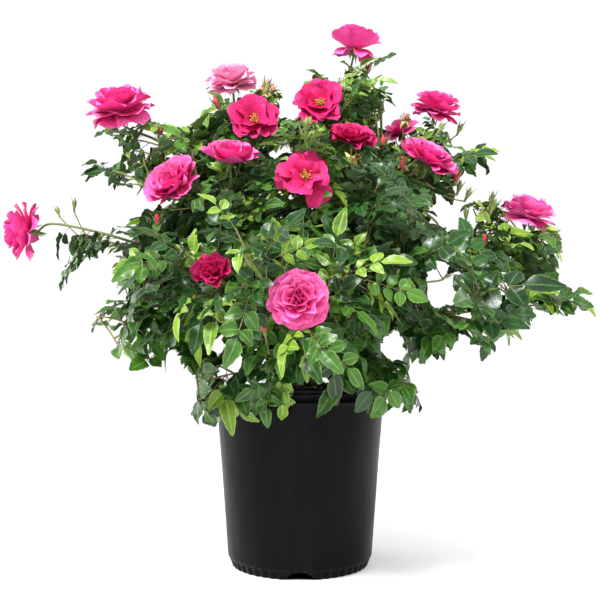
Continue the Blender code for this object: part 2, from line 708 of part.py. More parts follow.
def make_pot():
    """The nursery pot: a ribbed foot with notches, a tapering wall, and a rim of a bead, a band and a lip."""
    pot = spun(
        "pot",
        (
            (0.0, 0.0),
            (UNDERSIDE_RADIUS, 0.0),
            (RIB_TOP_RADIUS, RIB_HEIGHT),
            (WALL_FOOT_RADIUS, WALL_FOOT_HEIGHT),
            (WALL_TOP_RADIUS, WALL_TOP_HEIGHT),
            (BEAD_RADIUS, BEAD_LOW),
            (BEAD_RADIUS, BEAD_HIGH),
            (BAND_RADIUS, BAND_LOW),
            (BAND_RADIUS, BAND_HIGH),
            (LIP_RADIUS, LIP_LOW),
            (LIP_RADIUS - LIP_ROUND, POT_HEIGHT),
            (MOUTH_RADIUS, POT_HEIGHT),
            (FLOOR_RADIUS, FLOOR_HEIGHT),
            (0.0, FLOOR_HEIGHT),
        ),
        POT_SIDES,
        [material("pot_plastic")],
    )
    for corner in pot.data.vertices:
        radius = math.hypot(corner.co.x, corner.co.y)
        side = round(math.atan2(corner.co.y, corner.co.x) / math.tau * POT_SIDES)
        if corner.co.z <= RIB_HEIGHT and radius > FLOOR_RADIUS - RIB_DEPTH * 2 and side % 2:
            corner.co.xy *= 1.0 - RIB_DEPTH / radius
    for notch in range(NOTCHES):
        cutter = make_notch(f"notch_cutter_{notch}", math.tau * notch / NOTCHES)
        cut = pot.modifiers.new(cutter.name, "BOOLEAN")
        cut.operation = "DIFFERENCE"
        cut.solver = "EXACT"
        cut.object = cutter
    return pot


def make_notch(name, bearing):
    """The cutter of one drain notch, an arch that runs in under the foot."""
    shape = bmesh.new()
    bmesh.ops.create_cone(
        shape, cap_ends=True, segments=NOTCH_SIDES * 2, radius1=1.0, radius2=1.0, depth=1.0
    )
    mesh = bpy.data.meshes.new(name)
    depth = NOTCH_DEPTH * 2
    place = Matrix.Rotation(bearing, 4, "Z") @ Matrix.Translation((WALL_FOOT_RADIUS, 0.0, 0.0))
    size = Matrix.Diagonal((depth, NOTCH_WIDTH / 2, NOTCH_HEIGHT, 1.0))
    shape.transform(place @ size @ Matrix.Rotation(math.pi / 2, 4, "Y"))
    shape.to_mesh(mesh)
    shape.free()
    cutter = make_object(name, mesh, [])
    cutter.hide_render = True
    cutter.display_type = "WIRE"
    return cutter


def make_growing_mix():
    """The mix that fills the pot and mounds up round the stem base."""
    foot = FLOOR_HEIGHT + GAP
    profile = (
        (0.0, foot),
        (wall_radius(foot) - 2 * GAP, foot),
        (wall_radius(MIX_EDGE_HEIGHT) - 2 * GAP, MIX_EDGE_HEIGHT),
        MIX_SHOULDER,
        MIX_TOP,
        (0.0, MIX_TOP[1]),
    )
    return spun("growing_mix", profile, POT_SIDES // 2, [material("growing_mix")])


def make_stem_base(bark):
    """The short woody base that the canes rise from."""
    foot = MIX_TOP[1] + GAP
    profile = (
        (0.0, foot),
        (BASE_RADIUS, foot),
        (BASE_TOP_RADIUS, foot + BASE_HEIGHT),
        (0.0, foot + BASE_HEIGHT),
    )
    return spun("stem_base", profile, BASE_SIDES, [bark])


def loose_parts(mesh):
    """The separate bodies of a mesh, each a list of faces, largest first."""
    shape = bmesh.new()
    shape.from_mesh(mesh)
    shape.faces.ensure_lookup_table()
    left = set(range(len(shape.faces)))
    parts = []
    while left:
        part = [left.pop()]
        for index in part:
            for edge in shape.faces[index].edges:
                for face in edge.link_faces:
                    if face.index in left:
                        left.remove(face.index)
                        part.append(face.index)
        parts.append(part)
    shape.free()
    return sorted(parts, key=len, reverse=True)


def keep_largest_body(mesh):
    """Drops loose scraps and sealed hollows from a joined mesh, and tells whether what is left is closed."""
    parts = loose_parts(mesh)
    shape = bmesh.new()
    shape.from_mesh(mesh)
    shape.faces.ensure_lookup_table()
    scraps = [shape.faces[index] for part in parts[1:] for index in part]
    bmesh.ops.delete(shape, geom=scraps, context="FACES")
    closed = bool(shape.faces) and all(edge.is_manifold for edge in shape.edges)
    shape.to_mesh(mesh)
    shape.free()
    return closed


def joined(name, pieces, materials, solver):
    """The mesh of some pieces fused into one body by a Boolean union, and whether it is closed."""
    tools = bpy.data.collections.new(name)
    objects = [piece_object(f"{name}_{order}", piece, materials) for order, piece in enumerate(pieces)]
    for tool in objects[1:]:
        tools.objects.link(tool)
    union = objects[0].modifiers.new("union", "BOOLEAN")
    union.operation = "UNION"
    union.operand_type = "COLLECTION"
    union.collection = tools
    union.solver = solver
    mesh = bpy.data.meshes.new_from_object(objects[0].evaluated_get(bpy.context.evaluated_depsgraph_get()))
    for tool in objects:
        bpy.data.objects.remove(tool)
    bpy.data.collections.remove(tools)
    return mesh, keep_largest_body(mesh)


def make_mass(spray, materials):
    """One foliage mass as a single closed body. Leaves are given up until its pieces fuse cleanly."""
    pieces = list(spray.pieces)
    while True:
        for solver in ("EXACT", "MANIFOLD"):
            mesh, closed = joined(spray.name, pieces, materials, solver)
            if closed:
                mesh.materials.clear()
                mesh.name = f"{spray.name}_mass"
                return make_object(mesh.name, mesh, materials)
        pieces.pop()


def main():
    """The whole plant in its pot."""
    for thing in list(bpy.data.objects):
        bpy.data.objects.remove(thing)
    make_pot()
    make_growing_mix()
    bark = material("cane_bark")
    make_stem_base(bark)
    pot_space = tube([Vector(), UP * MIX_TOP[1]], [BEAD_RADIUS, BEAD_RADIUS], POT_SIDES)
    base_space = tube([Vector(), UP * (MIX_TOP[1] + BASE_HEIGHT)], [BASE_RADIUS, BASE_RADIUS], POT_SIDES)
    sprays = grow_sprays([Piece(*pot_space), Piece(*base_space)])
    foliage = [material("leaf"), material("petal")]
    for spray in sprays:
        piece_object(f"{spray.name}_cane", spray.cane, [bark])
        make_mass(spray, foliage)


main()
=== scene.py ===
"""Looks of the potted rose bush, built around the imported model. Metres, +Z up, best side towards -Y.

The canes, stems and side shoots grow by the rule of the part's source, from the same tables and seeds, and
are carried on to finer twigs. Leaves, petals, twigs and the rest are each gathered into joined meshes.
"""

import json
import math
import random
from collections import defaultdict

import bpy
import numpy as np
from mathutils import Matrix, Vector, noise
from mathutils.bvhtree import BVHTree

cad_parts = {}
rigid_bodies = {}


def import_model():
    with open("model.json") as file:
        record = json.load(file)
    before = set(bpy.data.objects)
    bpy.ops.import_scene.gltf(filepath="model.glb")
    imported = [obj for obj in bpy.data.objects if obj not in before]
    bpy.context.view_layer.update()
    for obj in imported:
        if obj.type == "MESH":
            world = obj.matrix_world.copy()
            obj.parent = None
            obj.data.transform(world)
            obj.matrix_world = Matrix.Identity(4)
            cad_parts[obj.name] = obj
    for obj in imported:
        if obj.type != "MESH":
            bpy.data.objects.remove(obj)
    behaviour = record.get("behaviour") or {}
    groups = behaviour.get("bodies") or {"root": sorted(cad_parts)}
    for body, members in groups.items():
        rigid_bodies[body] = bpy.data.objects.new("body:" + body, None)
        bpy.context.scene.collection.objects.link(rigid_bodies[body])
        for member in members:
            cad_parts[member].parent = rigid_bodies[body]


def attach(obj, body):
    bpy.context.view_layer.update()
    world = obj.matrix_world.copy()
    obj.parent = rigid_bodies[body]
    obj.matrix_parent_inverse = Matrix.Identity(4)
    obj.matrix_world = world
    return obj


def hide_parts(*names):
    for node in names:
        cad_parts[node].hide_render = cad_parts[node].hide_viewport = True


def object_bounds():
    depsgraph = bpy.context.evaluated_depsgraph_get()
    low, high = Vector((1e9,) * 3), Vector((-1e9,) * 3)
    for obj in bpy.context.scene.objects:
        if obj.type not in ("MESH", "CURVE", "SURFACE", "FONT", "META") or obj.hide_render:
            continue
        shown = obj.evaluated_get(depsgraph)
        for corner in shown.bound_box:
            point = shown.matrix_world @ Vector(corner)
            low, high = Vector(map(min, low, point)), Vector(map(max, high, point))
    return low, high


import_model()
CAD_LOW, CAD_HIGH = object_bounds()

UP = Vector((0.0, 0.0, 1.0))
STEEP = 0.9                       # the rise of a direction that UP is no longer a good side for
GAP = 0.0003

# The pot, growing mix and stem base, as in the source
POT_HEIGHT = 0.257
FLOOR_HEIGHT = 0.014
WALL_FOOT_RADIUS = 0.1047
BEAD_RADIUS = 0.1255
MOUTH_RADIUS = 0.1210
FLOOR_RADIUS = 0.1020
NOTCHES = 4
NOTCH_WIDTH = 0.036
NOTCH_HEIGHT = 0.011
NOTCH_DEPTH = 0.014
MIX_EDGE_HEIGHT = 0.246
MIX_SHOULDER = (0.075, 0.256)
MIX_TOP = (0.034, 0.262)
BASE_RADIUS = 0.026
BASE_HEIGHT = 0.020
FOOT_RING_RADIUS = 0.0165

# Canes and shoots, as in the source
CANE_RADIUS = 0.0046
SIDE_CANE_RADIUS = 0.0038
CANE_TIP_RADIUS = 0.0031
CANE_SIDES = 5
CANE_STEPS = 4
ARCH_REACH = 0.30
ARCH_RISE = 0.85
SIDE_ARCH_REACH = 0.55
ARCH_SAMPLES = 16
LEAST_RISE = 0.07
STEM_SHARE = 0.56
LONGEST_STEM = 0.27
STEM_SIDES = 3
STEM_STEPS = 4
STEM_TIP_RADIUS = 0.0026
FLOWER_COLLAR = 0.016
SHOOT_RADII = (0.0016, 0.0024, 0.0021, 0.0019)
SHOOT_SHARES = (0.0, 0.3, 0.65, 1.0)
SHOOT_SIDES = 3
SIDE_SHOOTS = 3
FIRST_SHOOT = 0.6
SHOOT_LENGTHS = (0.85, 1.10)
SHOOT_LEAN = math.radians(52)
SHOOT_LIFT = 0.20
SHOOT_OUTWARD = 0.35
SHOOT_FOOT_FACES = 4
SHOOT_TRIES = 6
SHOOT_ROOM = 0.022
BUD_EVERY = 3
GOLDEN_TURN = math.radians(137.5)
LOWEST_LEAF = 0.188
LOW_RADIUS = 0.17
LOW_SLOPE = 0.5
ABOVE_TIP = 0.015
INWARD_LIMIT = -0.30
CLEARANCE = 0.0004

# Flowers and buds, as in the source
PETAL_SIDES = 7
NECK_RADIUS = 0.0034
NECK_DROP = 0.52
SINK = 0.004
FLOWERS = {
    "double": (((0.60, -0.22), (1.00, 0.06), (0.74, 0.42)), 0.46),
    "open": (((0.62, -0.20), (1.00, 0.12)), -0.06),
}
SCALLOP = 0.10
FLOWER_RADIUS = 0.038
BUD_SIDES = 4
BUD_RINGS = ((0.0028, 0.0), (0.0062, 0.007), (0.0050, 0.015))
BUD_TIP = 0.024

HEART = Vector((0.0, 0.0, 0.34))
DOME_MIDDLE = (0.0, 0.0, 0.30)
DOME_RADII = (0.46, 0.40, 0.46)

# Each foliage mass, as in the source
SPRAYS = (
    ("top", "foot", 0.0, (0.085, 0.020, 0.790), "double", (0.15, -0.35, 1.0), 0.045),
    ("upper_left", "foot", 0.0, (-0.272, -0.020, 0.682), "double", (-0.2, -0.35, 1.0), 0.070),
    ("far_left", "foot", 0.0, (-0.405, -0.020, 0.494), "double", (-1.0, -0.15, -0.15), 0.060),
    ("front", "foot", 0.0, (-0.003, -0.285, 0.366), "double", (0.0, -1.0, 0.25), 0.085),
    ("upper_right", "foot", 0.0, (0.214, 0.010, 0.690), "double", (0.3, -0.35, 1.0), 0.080),
    ("far_right", "foot", 0.0, (0.360, 0.030, 0.380), "leaves", (1.0, 0.0, 0.1), 0.075),
    ("back", "foot", 0.0, (-0.010, 0.330, 0.470), "double", (0.0, 1.0, 0.5), 0.085),
    ("back_right", "foot", 0.0, (0.270, 0.220, 0.450), "open", (1.0, 0.9, 0.6), 0.085),
    ("back_left", "foot", 0.0, (-0.270, 0.230, 0.500), "double", (-1.0, 0.9, 0.7), 0.085),
    ("crown_left", "upper_left", 2.5, (-0.067, -0.050, 0.653), "open", (0.0, -1.0, 0.15), 0.075),
    ("crown_middle", "upper_right", 1.5, (0.029, -0.050, 0.678), "open", (-0.1, -1.0, 0.3), 0.075),
    ("left", "upper_left", 1.5, (-0.177, -0.120, 0.543), "open", (-0.6, -0.8, 0.5), 0.075),
    ("left_low", "far_left", 1.7, (-0.250, -0.080, 0.345), "leaves", (-1.0, -0.2, -0.1), 0.080),
    ("rim_left", "far_left", 0.6, (-0.120, -0.150, 0.270), "leaves", (-0.3, -0.3, -1.0), 0.060),
    ("front_left", "front", 2.5, (-0.108, -0.225, 0.405), "open", (-0.2, -1.0, 0.4), 0.070),
    ("front_high", "top", 1.5, (0.008, -0.175, 0.538), "open", (0.1, -1.0, 0.2), 0.075),
    ("middle_left", "upper_left", 0.6, (-0.075, -0.115, 0.475), "bud", (-0.3, -0.6, 1.0), 0.070),
    ("middle_right", "upper_right", 0.6, (0.075, -0.110, 0.500), "bud", (0.3, -0.6, 1.0), 0.070),
    ("front_right", "front", 1.6, (0.100, -0.200, 0.420), "bud", (0.2, -0.5, 1.0), 0.080),
    ("rim_right", "far_right", 0.6, (0.130, -0.130, 0.275), "leaves", (0.3, -0.3, -1.0), 0.060),
    ("right_front", "upper_right", 2.5, (0.188, -0.080, 0.592), "double", (0.5, -1.0, 0.2), 0.080),
    ("right", "upper_right", 1.5, (0.350, 0.000, 0.520), "double", (0.4, -0.3, 1.0), 0.075),
    ("right_low", "far_right", 1.7, (0.225, -0.130, 0.350), "leaves", (0.7, -0.7, -0.1), 0.080),
    ("back_high", "top", 1.9, (0.030, 0.170, 0.700), "double", (0.0, 0.7, 1.0), 0.080),
    ("back_left_high", "back_left", 2.5, (-0.150, 0.170, 0.640), "open", (-0.3, 0.7, 1.0), 0.080),
    ("back_right_high", "back_right", 2.5, (0.190, 0.180, 0.600), "double", (0.4, 0.6, 1.0), 0.080),
    ("back_left_low", "back_left", 1.4, (-0.190, 0.210, 0.320), "leaves", (-0.6, 0.8, -0.2), 0.080),
    ("back_right_low", "back", 1.4, (0.120, 0.240, 0.315), "leaves", (0.3, 1.0, -0.2), 0.080),
)
MORE_FLOWERS = (
    ("crown_left", (-0.112, 0.060, 0.750), "double", (-0.1, -0.2, 1.0), 0.033),
    ("crown_middle", (0.076, -0.085, 0.620), "double", (0.2, -0.5, 0.8), 0.032),
    ("left", (-0.094, -0.125, 0.579), "double", (0.0, -0.4, 1.0), 0.036),
    ("upper_right", (0.160, 0.070, 0.672), "double", (-0.2, -0.2, 1.0), 0.031),
)
MORE_SHOOT_SHARE = 0.30
FLOWER_SHOOT_BEND = 0.4
FLOWER_SHOOT_SHARES = (0.0, 0.3, 0.7)

# Finer growth
FINE_SHOOTS = 11                  # further shoots on each stem
FINE_SHOOT_SCALE = 0.80           # their length beside a side shoot's
TWIG_PLACES = (0.25, 0.42, 0.60, 0.80)  # of a side shoot, where its twigs leave it
TWIG_SCALE = 0.62
FINE_RADII = (0.0016, 0.0014, 0.0011, 0.0009)
STEM_LOOK_RADII = (0.0031, 0.0026, 0.0022, 0.0019, 0.0017)
LEAF_SPACING = 0.0105
FIRST_LEAF = 0.014
LAST_LEAF = 0.008
LEAF_TURN = math.radians(137.5)
LEAF_LEAN = math.radians(56)
LEAF_TRIES = (                    # degrees turned round the shoot, and size
    (0, 1.0), (40, 1.0), (-40, 1.0), (85, 0.95), (-85, 0.95), (130, 0.85),
)
SMALL_LEAF_TRIES = (              # with a leaf of three leaflets
    (0, 1.0), (60, 1.0), (-60, 1.0), (120, 0.95), (-120, 0.95), (180, 0.85),
    (30, 0.80), (-30, 0.80), (90, 0.7), (-90, 0.7), (0, 0.6),
)
FINE_LEAF_OUTWARD = 0.20
LIGHT_FRONT = Vector((-0.15, -0.55, 0.85))   # where leaves in front turn to, and at the back
LIGHT_BACK = Vector((0.0, 0.30, 0.90))
FINE_LIGHT_OUTWARD = 0.45
FINE_LEAF_ROLL = math.radians(52)
LEAF_SAG = (0.0, 0.75)            # how far a leaf hangs
LEAF_DROOP = {                    # how far it bends down under its weight, per metre
    "dark": (1.0, 5.0), "mid": (1.0, 6.0), "young": (4.0, 9.0),
}
OUTER_SHARES = ((0.60, 0.95), (0.0, 1.0))    # of the way from the heart to the tip, and how outer that is; leaves further in get darker tones and painted shade
SIZE_RANGE = (0.82, 1.12)
SIZE_BY_HEIGHT = ((0.38, 0.64), (0.92, 0.74))
INNER_PAINTED_SHADE = 0.3                 # how light a leaf at the heart may be beside one at the tip: painted shade on the leaves deep in the crown
END_LEAF_INSET = 0.001            # from the end of a shoot to the foot of the leaf there
ROOM_CELL = 0.05
SPACE_SIDES = 24                  # of the pot's and the stem base's space
OVER_REACH = 0.008                # how far leaves may reach beyond the source's solids

# Fine leaves
TEETH = 6                         # on each side of a leaflet
TEMPLATES = 8                     # of each number of pairs
LEAF_CREASE = math.radians(30)    # folds sharper than this show as an edge
TOOTH_WIDTH = 1.05
NOTCH_WIDTH_SHARE = 0.96
UNDER = 0.0005                    # from a leaflet's upper to its lower midrib
BACK_FROM = 0.1                   # masses behind this y have their leaves in the back pieces
TONES = ("dark", "mid", "young")
LEAFLET_LENGTH = {"dark": 0.033, "mid": 0.032, "young": 0.029}
LEAFLET_WIDTH = {"dark": 0.0238, "mid": 0.0222, "young": 0.0175}
LEAFLET_FOLD = {"dark": 0.22, "mid": 0.30, "young": 0.52}
YOUNG_GAIN = (0.5, 1.0)           # of the share of young leaves: at a shoot's foot, and added at its tip
DARK_GAIN = (1.3, -0.6)
DEFAULT_TONES = (0.42, 0.46, 0.12)
SPRAY_TONES = {                   # shares of dark, mid and young leaves
    "top": (0.30, 0.55, 0.15),
    "upper_left": (0.30, 0.50, 0.20),
    "far_left": (0.42, 0.50, 0.08),
    "front": (0.34, 0.36, 0.30),
    "upper_right": (0.45, 0.45, 0.10),
    "far_right": (0.25, 0.50, 0.25),
    "crown_left": (0.25, 0.50, 0.25),
    "crown_middle": (0.45, 0.45, 0.10),
    "left": (0.40, 0.50, 0.10),
    "left_low": (0.45, 0.50, 0.05),
    "rim_left": (0.45, 0.50, 0.05),
    "front_left": (0.46, 0.44, 0.10),
    "front_high": (0.36, 0.34, 0.30),
    "middle_left": (0.65, 0.30, 0.05),
    # middle_right and front_right are mostly dark leaves, partly as painted shade for the shaded crown right
    # of the front bloom
    "middle_right": (0.75, 0.25, 0.00),
    "front_right": (0.62, 0.34, 0.04),
    "rim_right": (0.60, 0.40, 0.00),
    "right_front": (0.34, 0.36, 0.30),
    "right": (0.16, 0.36, 0.48),
    "right_low": (0.55, 0.40, 0.05),
}
LEAF_SIZES = {                    # beside the size by height
    "left_low": 1.26, "rim_left": 1.12, "far_left": 1.20, "upper_left": 1.12, "left": 1.08,
    "far_right": 1.20, "right_low": 1.15,
    "front": 0.84, "front_high": 0.80, "front_left": 0.86, "front_right": 0.88,
}

# What each bloom looks like: form, tone, radius beside the solid's, the way it faces, and its shift from the
# solid's place if it has one
BLOOMS = {
    "top": ("skirted", "bright", 0.97, (0.10, -0.25, 1.0), (0.002, 0.0, 0.008)),
    "upper_left": ("pompom", "bright", 1.14, (-0.1, -0.50, 1.0), (0.0, 0.0, 0.004)),
    "far_left": ("fan", "bright", 1.10, (-1.0, -0.30, 0.05), (-0.014, 0.0, -0.006)),
    "front": ("double", "bright", 0.88, (0.0, -1.0, 0.22), (0.002, 0.0, 0.002)),
    "upper_right": ("pompom", "bright", 0.90, (0.30, -0.35, 1.0), (0.0, 0.0, 0.002)),
    "crown_left": ("open", "deep", 0.84, (0.1, -1.0, 0.30)),
    "crown_middle": ("open", "deep", 0.82, (-0.1, -1.0, 0.35)),
    "left": ("bowl", "bright", 0.96, (-0.45, -0.85, 0.55)),
    "front_left": ("cup", "deep", 0.66, (-0.10, -0.95, 0.45)),
    "front_high": ("limp", "deep", 0.84, (0.1, -1.0, 0.2)),
    "right_front": ("dish", "bright", 1.12, (0.42, -0.50, 0.75)),
    "right": ("pompom", "lilac", 0.94, (0.30, -0.30, 1.0), (0.0, 0.0, 0.006)),
    "back": ("double", "deep", 1.00, (0.0, 1.0, 0.5)),
    "back_left": ("double", "bright", 1.00, (-1.0, 0.9, 0.7)),
    "back_high": ("bowl", "bright", 1.00, (0.0, 0.7, 1.0)),
    "back_left_high": ("open", "deep", 0.90, (-0.3, 0.7, 1.0)),
    "back_right_high": ("double", "deep", 1.00, (0.4, 0.6, 1.0)),
}
MORE_BLOOMS = {
    "crown_left": ("pompom", "pale", 1.12, (-0.15, -0.55, 1.0), (0.0, 0.0, 0.004)),
    "crown_middle": ("dish", "deep", 1.04, (0.15, -0.60, 0.80)),
    "left": ("bowl", "bright", 0.94, (0.12, -0.55, 1.0)),
    "upper_right": ("loose", "bright", 0.96, (-0.3, -0.5, 0.7)),
}

# Buds on slim stalks: the mass, the bud's foot, the way it points, its length, and "red", "pink" or "green".
# A "spent" one is a flower that has lost its petals
BUDS = (
    ("far_left", (-0.337, -0.020, 0.522), (0.1, -0.2, 1.0), 0.016, "green"),
    ("far_left", (-0.372, 0.020, 0.520), (-0.4, 0.2, 1.0), 0.014, "green"),
    ("left", (-0.192, -0.120, 0.480), (-0.2, -0.4, 1.0), 0.019, "red"),
    ("middle_right", (0.124, -0.120, 0.506), (0.0, -0.5, 1.0), 0.020, "red"),
    ("right_front", (0.121, -0.050, 0.600), (0.0, -0.3, 1.0), 0.024, "red"),
    ("right_front", (0.144, -0.080, 0.566), (0.1, -0.4, 1.0), 0.020, "red"),
    ("right_front", (0.230, -0.030, 0.560), (0.3, -0.2, 1.0), 0.022, "red"),
    ("right_front", (0.246, -0.030, 0.535), (0.5, -0.1, 1.0), 0.018, "green"),
    ("right", (0.262, -0.060, 0.458), (0.2, -0.3, 1.0), 0.020, "red"),
    ("right", (0.244, -0.040, 0.482), (-0.1, -0.2, 1.0), 0.018, "green"),
    ("right", (0.286, -0.020, 0.518), (0.4, -0.1, 1.0), 0.020, "green"),
    ("front", (-0.042, -0.260, 0.330), (-0.2, -0.6, 1.0), 0.022, "red"),
    ("front", (0.061, -0.220, 0.354), (0.3, -0.3, 1.0), 0.021, "red"),
    ("crown_left", (-0.124, 0.000, 0.680), (-0.4, -0.2, 1.0), 0.022, "red"),
    ("crown_left", (-0.057, 0.050, 0.722), (0.3, -0.1, 1.0), 0.024, "pink"),
    ("crown_middle", (0.013, -0.100, 0.592), (-0.1, -0.5, 1.0), 0.022, "pink"),
    ("top", (0.104, 0.020, 0.742), (0.3, 0.0, 1.0), 0.018, "red"),
    ("upper_left", (-0.215, 0.000, 0.640), (0.3, 0.2, 1.0), 0.018, "red"),
    ("upper_right", (0.250, 0.040, 0.655), (0.5, 0.3, 1.0), 0.019, "green"),
    ("crown_left", (-0.059, 0.020, 0.708), (-0.2, -0.5, 1.0), 0.022, "spent"),
    ("crown_left", (-0.044, 0.030, 0.716), (0.2, -0.4, 1.0), 0.020, "spent"),
    ("front_high", (0.070, -0.110, 0.572), (0.2, -1.0, -0.2), 0.022, "spent"),
    ("right_front", (0.145, -0.070, 0.578), (0.1, -0.6, 0.3), 0.018, "spent"),
    ("upper_right", (0.163, 0.020, 0.668), (0.2, -0.4, 1.0), 0.018, "spent"),
    ("right", (0.239, -0.060, 0.500), (0.0, -0.2, 1.0), 0.017, "green"),
    ("right", (0.284, -0.020, 0.530), (0.3, -0.2, 1.0), 0.018, "green"),
    ("right_front", (0.234, -0.030, 0.545), (0.3, -0.2, 1.0), 0.018, "green"),
    ("back", (0.030, 0.325, 0.500), (0.3, 0.4, 1.0), 0.020, "red"),
    ("back_left", (-0.240, 0.245, 0.545), (-0.2, 0.5, 1.0), 0.020, "red"),
    ("back_right", (0.235, 0.235, 0.500), (0.2, 0.5, 1.0), 0.020, "green"),
    ("back_high", (0.075, 0.190, 0.705), (0.4, 0.4, 1.0), 0.020, "red"),
)

# Further shoots that the photo shows by their leaves, by where they end
TIPS = (
    ("far_right", (0.410, 0.030, 0.390)), ("right_low", (0.264, -0.100, 0.323)),
    ("right_low", (0.306, -0.060, 0.341)), ("right", (0.234, -0.030, 0.553)),
    ("right", (0.284, -0.020, 0.534)), ("right_front", (0.292, 0.010, 0.618)),
    ("right_front", (0.275, -0.010, 0.588)), ("top", (0.131, 0.020, 0.766)), ("top", (0.154, 0.030, 0.729)),
    ("top", (0.065, 0.000, 0.747)), ("left", (-0.304, -0.060, 0.574)), ("left", (-0.250, -0.080, 0.545)),
    ("far_left", (-0.276, -0.050, 0.521)), ("far_left", (-0.347, -0.020, 0.426)),
    ("left_low", (-0.286, -0.080, 0.356)), ("left_low", (-0.247, -0.100, 0.310)),
    ("left_low", (-0.198, -0.110, 0.293)), ("upper_left", (-0.297, -0.010, 0.642)),
    ("upper_left", (-0.274, -0.030, 0.624)), ("upper_left", (-0.253, -0.050, 0.587)),
    ("crown_left", (-0.150, 0.020, 0.699)), ("crown_middle", (0.020, 0.000, 0.728)),
    ("rim_left", (-0.131, -0.140, 0.228)), ("rim_left", (-0.057, -0.165, 0.278)),
    ("rim_left", (-0.085, -0.140, 0.288)), ("front", (-0.035, -0.190, 0.271)),
    ("rim_left", (-0.155, -0.130, 0.298)), ("far_right", (0.261, 0.020, 0.424)),
    ("far_right", (0.283, 0.000, 0.422)), ("far_right", (0.352, 0.020, 0.415)),
    ("far_right", (0.391, 0.030, 0.435)), ("far_right", (0.369, 0.000, 0.389)),
    ("right_low", (0.289, -0.050, 0.394)), ("far_right", (0.275, -0.020, 0.379)),
    ("right", (0.294, -0.030, 0.431)), ("right", (0.361, 0.020, 0.457)),
    ("right_low", (0.249, -0.080, 0.349)), ("right_low", (0.266, -0.060, 0.308)),
    ("right", (0.246, -0.050, 0.455)), ("top", (0.125, 0.020, 0.672)), ("top", (0.152, 0.040, 0.707)),
    ("top", (0.110, 0.000, 0.694)), ("top", (0.139, 0.030, 0.742)), ("upper_right", (0.156, 0.050, 0.681)),
    ("upper_left", (-0.214, 0.000, 0.656)), ("upper_left", (-0.254, -0.040, 0.605)),
    ("upper_left", (-0.186, -0.020, 0.635)), ("top", (0.052, 0.000, 0.747)), ("top", (0.120, 0.000, 0.760)),
    ("left", (-0.223, -0.100, 0.532)), ("left_low", (-0.216, -0.120, 0.336)),
    ("left_low", (-0.159, -0.140, 0.349)),
)
PLACE_STEPS = 20                  # the places on a shoot that a tip shoot or a bud's stalk may start from
PLACE_WEIGHT = 2.0                # of being too high, beside being too near or far
TIP_SHOOT_LENGTH = 0.075
TIP_SHOOT_DROP = 0.01             # its start is at least this much lower than its tip
TIP_SHOOT_ARCH = 0.15             # how far it rises above the straight line, beside its length
STALK_LENGTH = 0.055              # of a bud
STALK_DROP = 0.045
STALK_END = 0.30                  # how far below the bud it ends, beside the bud's length
STALK_BEND = (0.55, 0.16)         # where its arch's control point lies, and how far below the straight line
BUD_STALK_RADII = (0.0012, 0.0010, 0.0009, 0.0011)
BUD_STALK_STEP = 0.008
BUD_STALK_SIDES = 5
TWIG_STEP = 0.009
TWIG_SIDES = 6
TWIG_END = 0.002                  # how far a twig runs past the last thing that grows on it
TWIG_UNEVEN = (-0.05, 0.09)

# The camera, and what the foliage leaves open in its view. Places there are pixels of a 600 x 600 frame
CAMERA_PLACE = Vector((0.0, -1.2, 0.2945))
CAMERA_PITCH = math.radians(4.36)
CAMERA_LENS = 48.0
SENSOR = 36.0
FRAME_SIZE = 600
OUTLINE = (                       # what the foliage keeps within, clockwise from below on the left
    (194, 432), (190, 404), (198, 388), (194, 374), (180, 368), (178, 354), (168, 354), (160, 376),
    (134, 368), (128, 358), (108, 364), (106, 342), (122, 330), (84, 328), (82, 308), (100, 298),
    (124, 302), (120, 292), (112, 284), (112, 262), (110, 254), (94, 256), (82, 262), (74, 280), (66, 292),
    (52, 290), (54, 268), (44, 262), (52, 244), (40, 242), (40, 232), (62, 232), (86, 236), (92, 226),
    (98, 202), (122, 198), (122, 208), (122, 214), (126, 218), (142, 210), (158, 208), (160, 194),
    (150, 190), (118, 190), (106, 186), (100, 180), (74, 180), (74, 158), (104, 158), (118, 166),
    (120, 144), (94, 138), (94, 126), (82, 112), (82, 92), (98, 80), (148, 80), (152, 104), (162, 126),
    (186, 126), (200, 116), (200, 98), (212, 94), (206, 60), (254, 60), (256, 82), (282, 86), (280, 112),
    (290, 120), (300, 118), (302, 66), (322, 64), (330, 80), (344, 82), (342, 66), (336, 58), (338, 44),
    (372, 42), (404, 52), (404, 66), (386, 64), (374, 64), (376, 73), (400, 73), (412, 86), (412, 96),
    (420, 92), (466, 92), (466, 112), (450, 118), (450, 138), (470, 146), (486, 138), (506, 142),
    (506, 158), (492, 164), (490, 176), (464, 174), (468, 202), (480, 196), (496, 194), (500, 206),
    (508, 208), (554, 212), (562, 236), (566, 262), (558, 284), (602, 288), (604, 316), (558, 314),
    (532, 318), (532, 340), (508, 342), (500, 334), (498, 350), (482, 364), (470, 360), (472, 336),
    (462, 332), (462, 342), (450, 354), (430, 362), (414, 366), (414, 384), (426, 396), (422, 414),
    (402, 414), (392, 404), (388, 420),
)
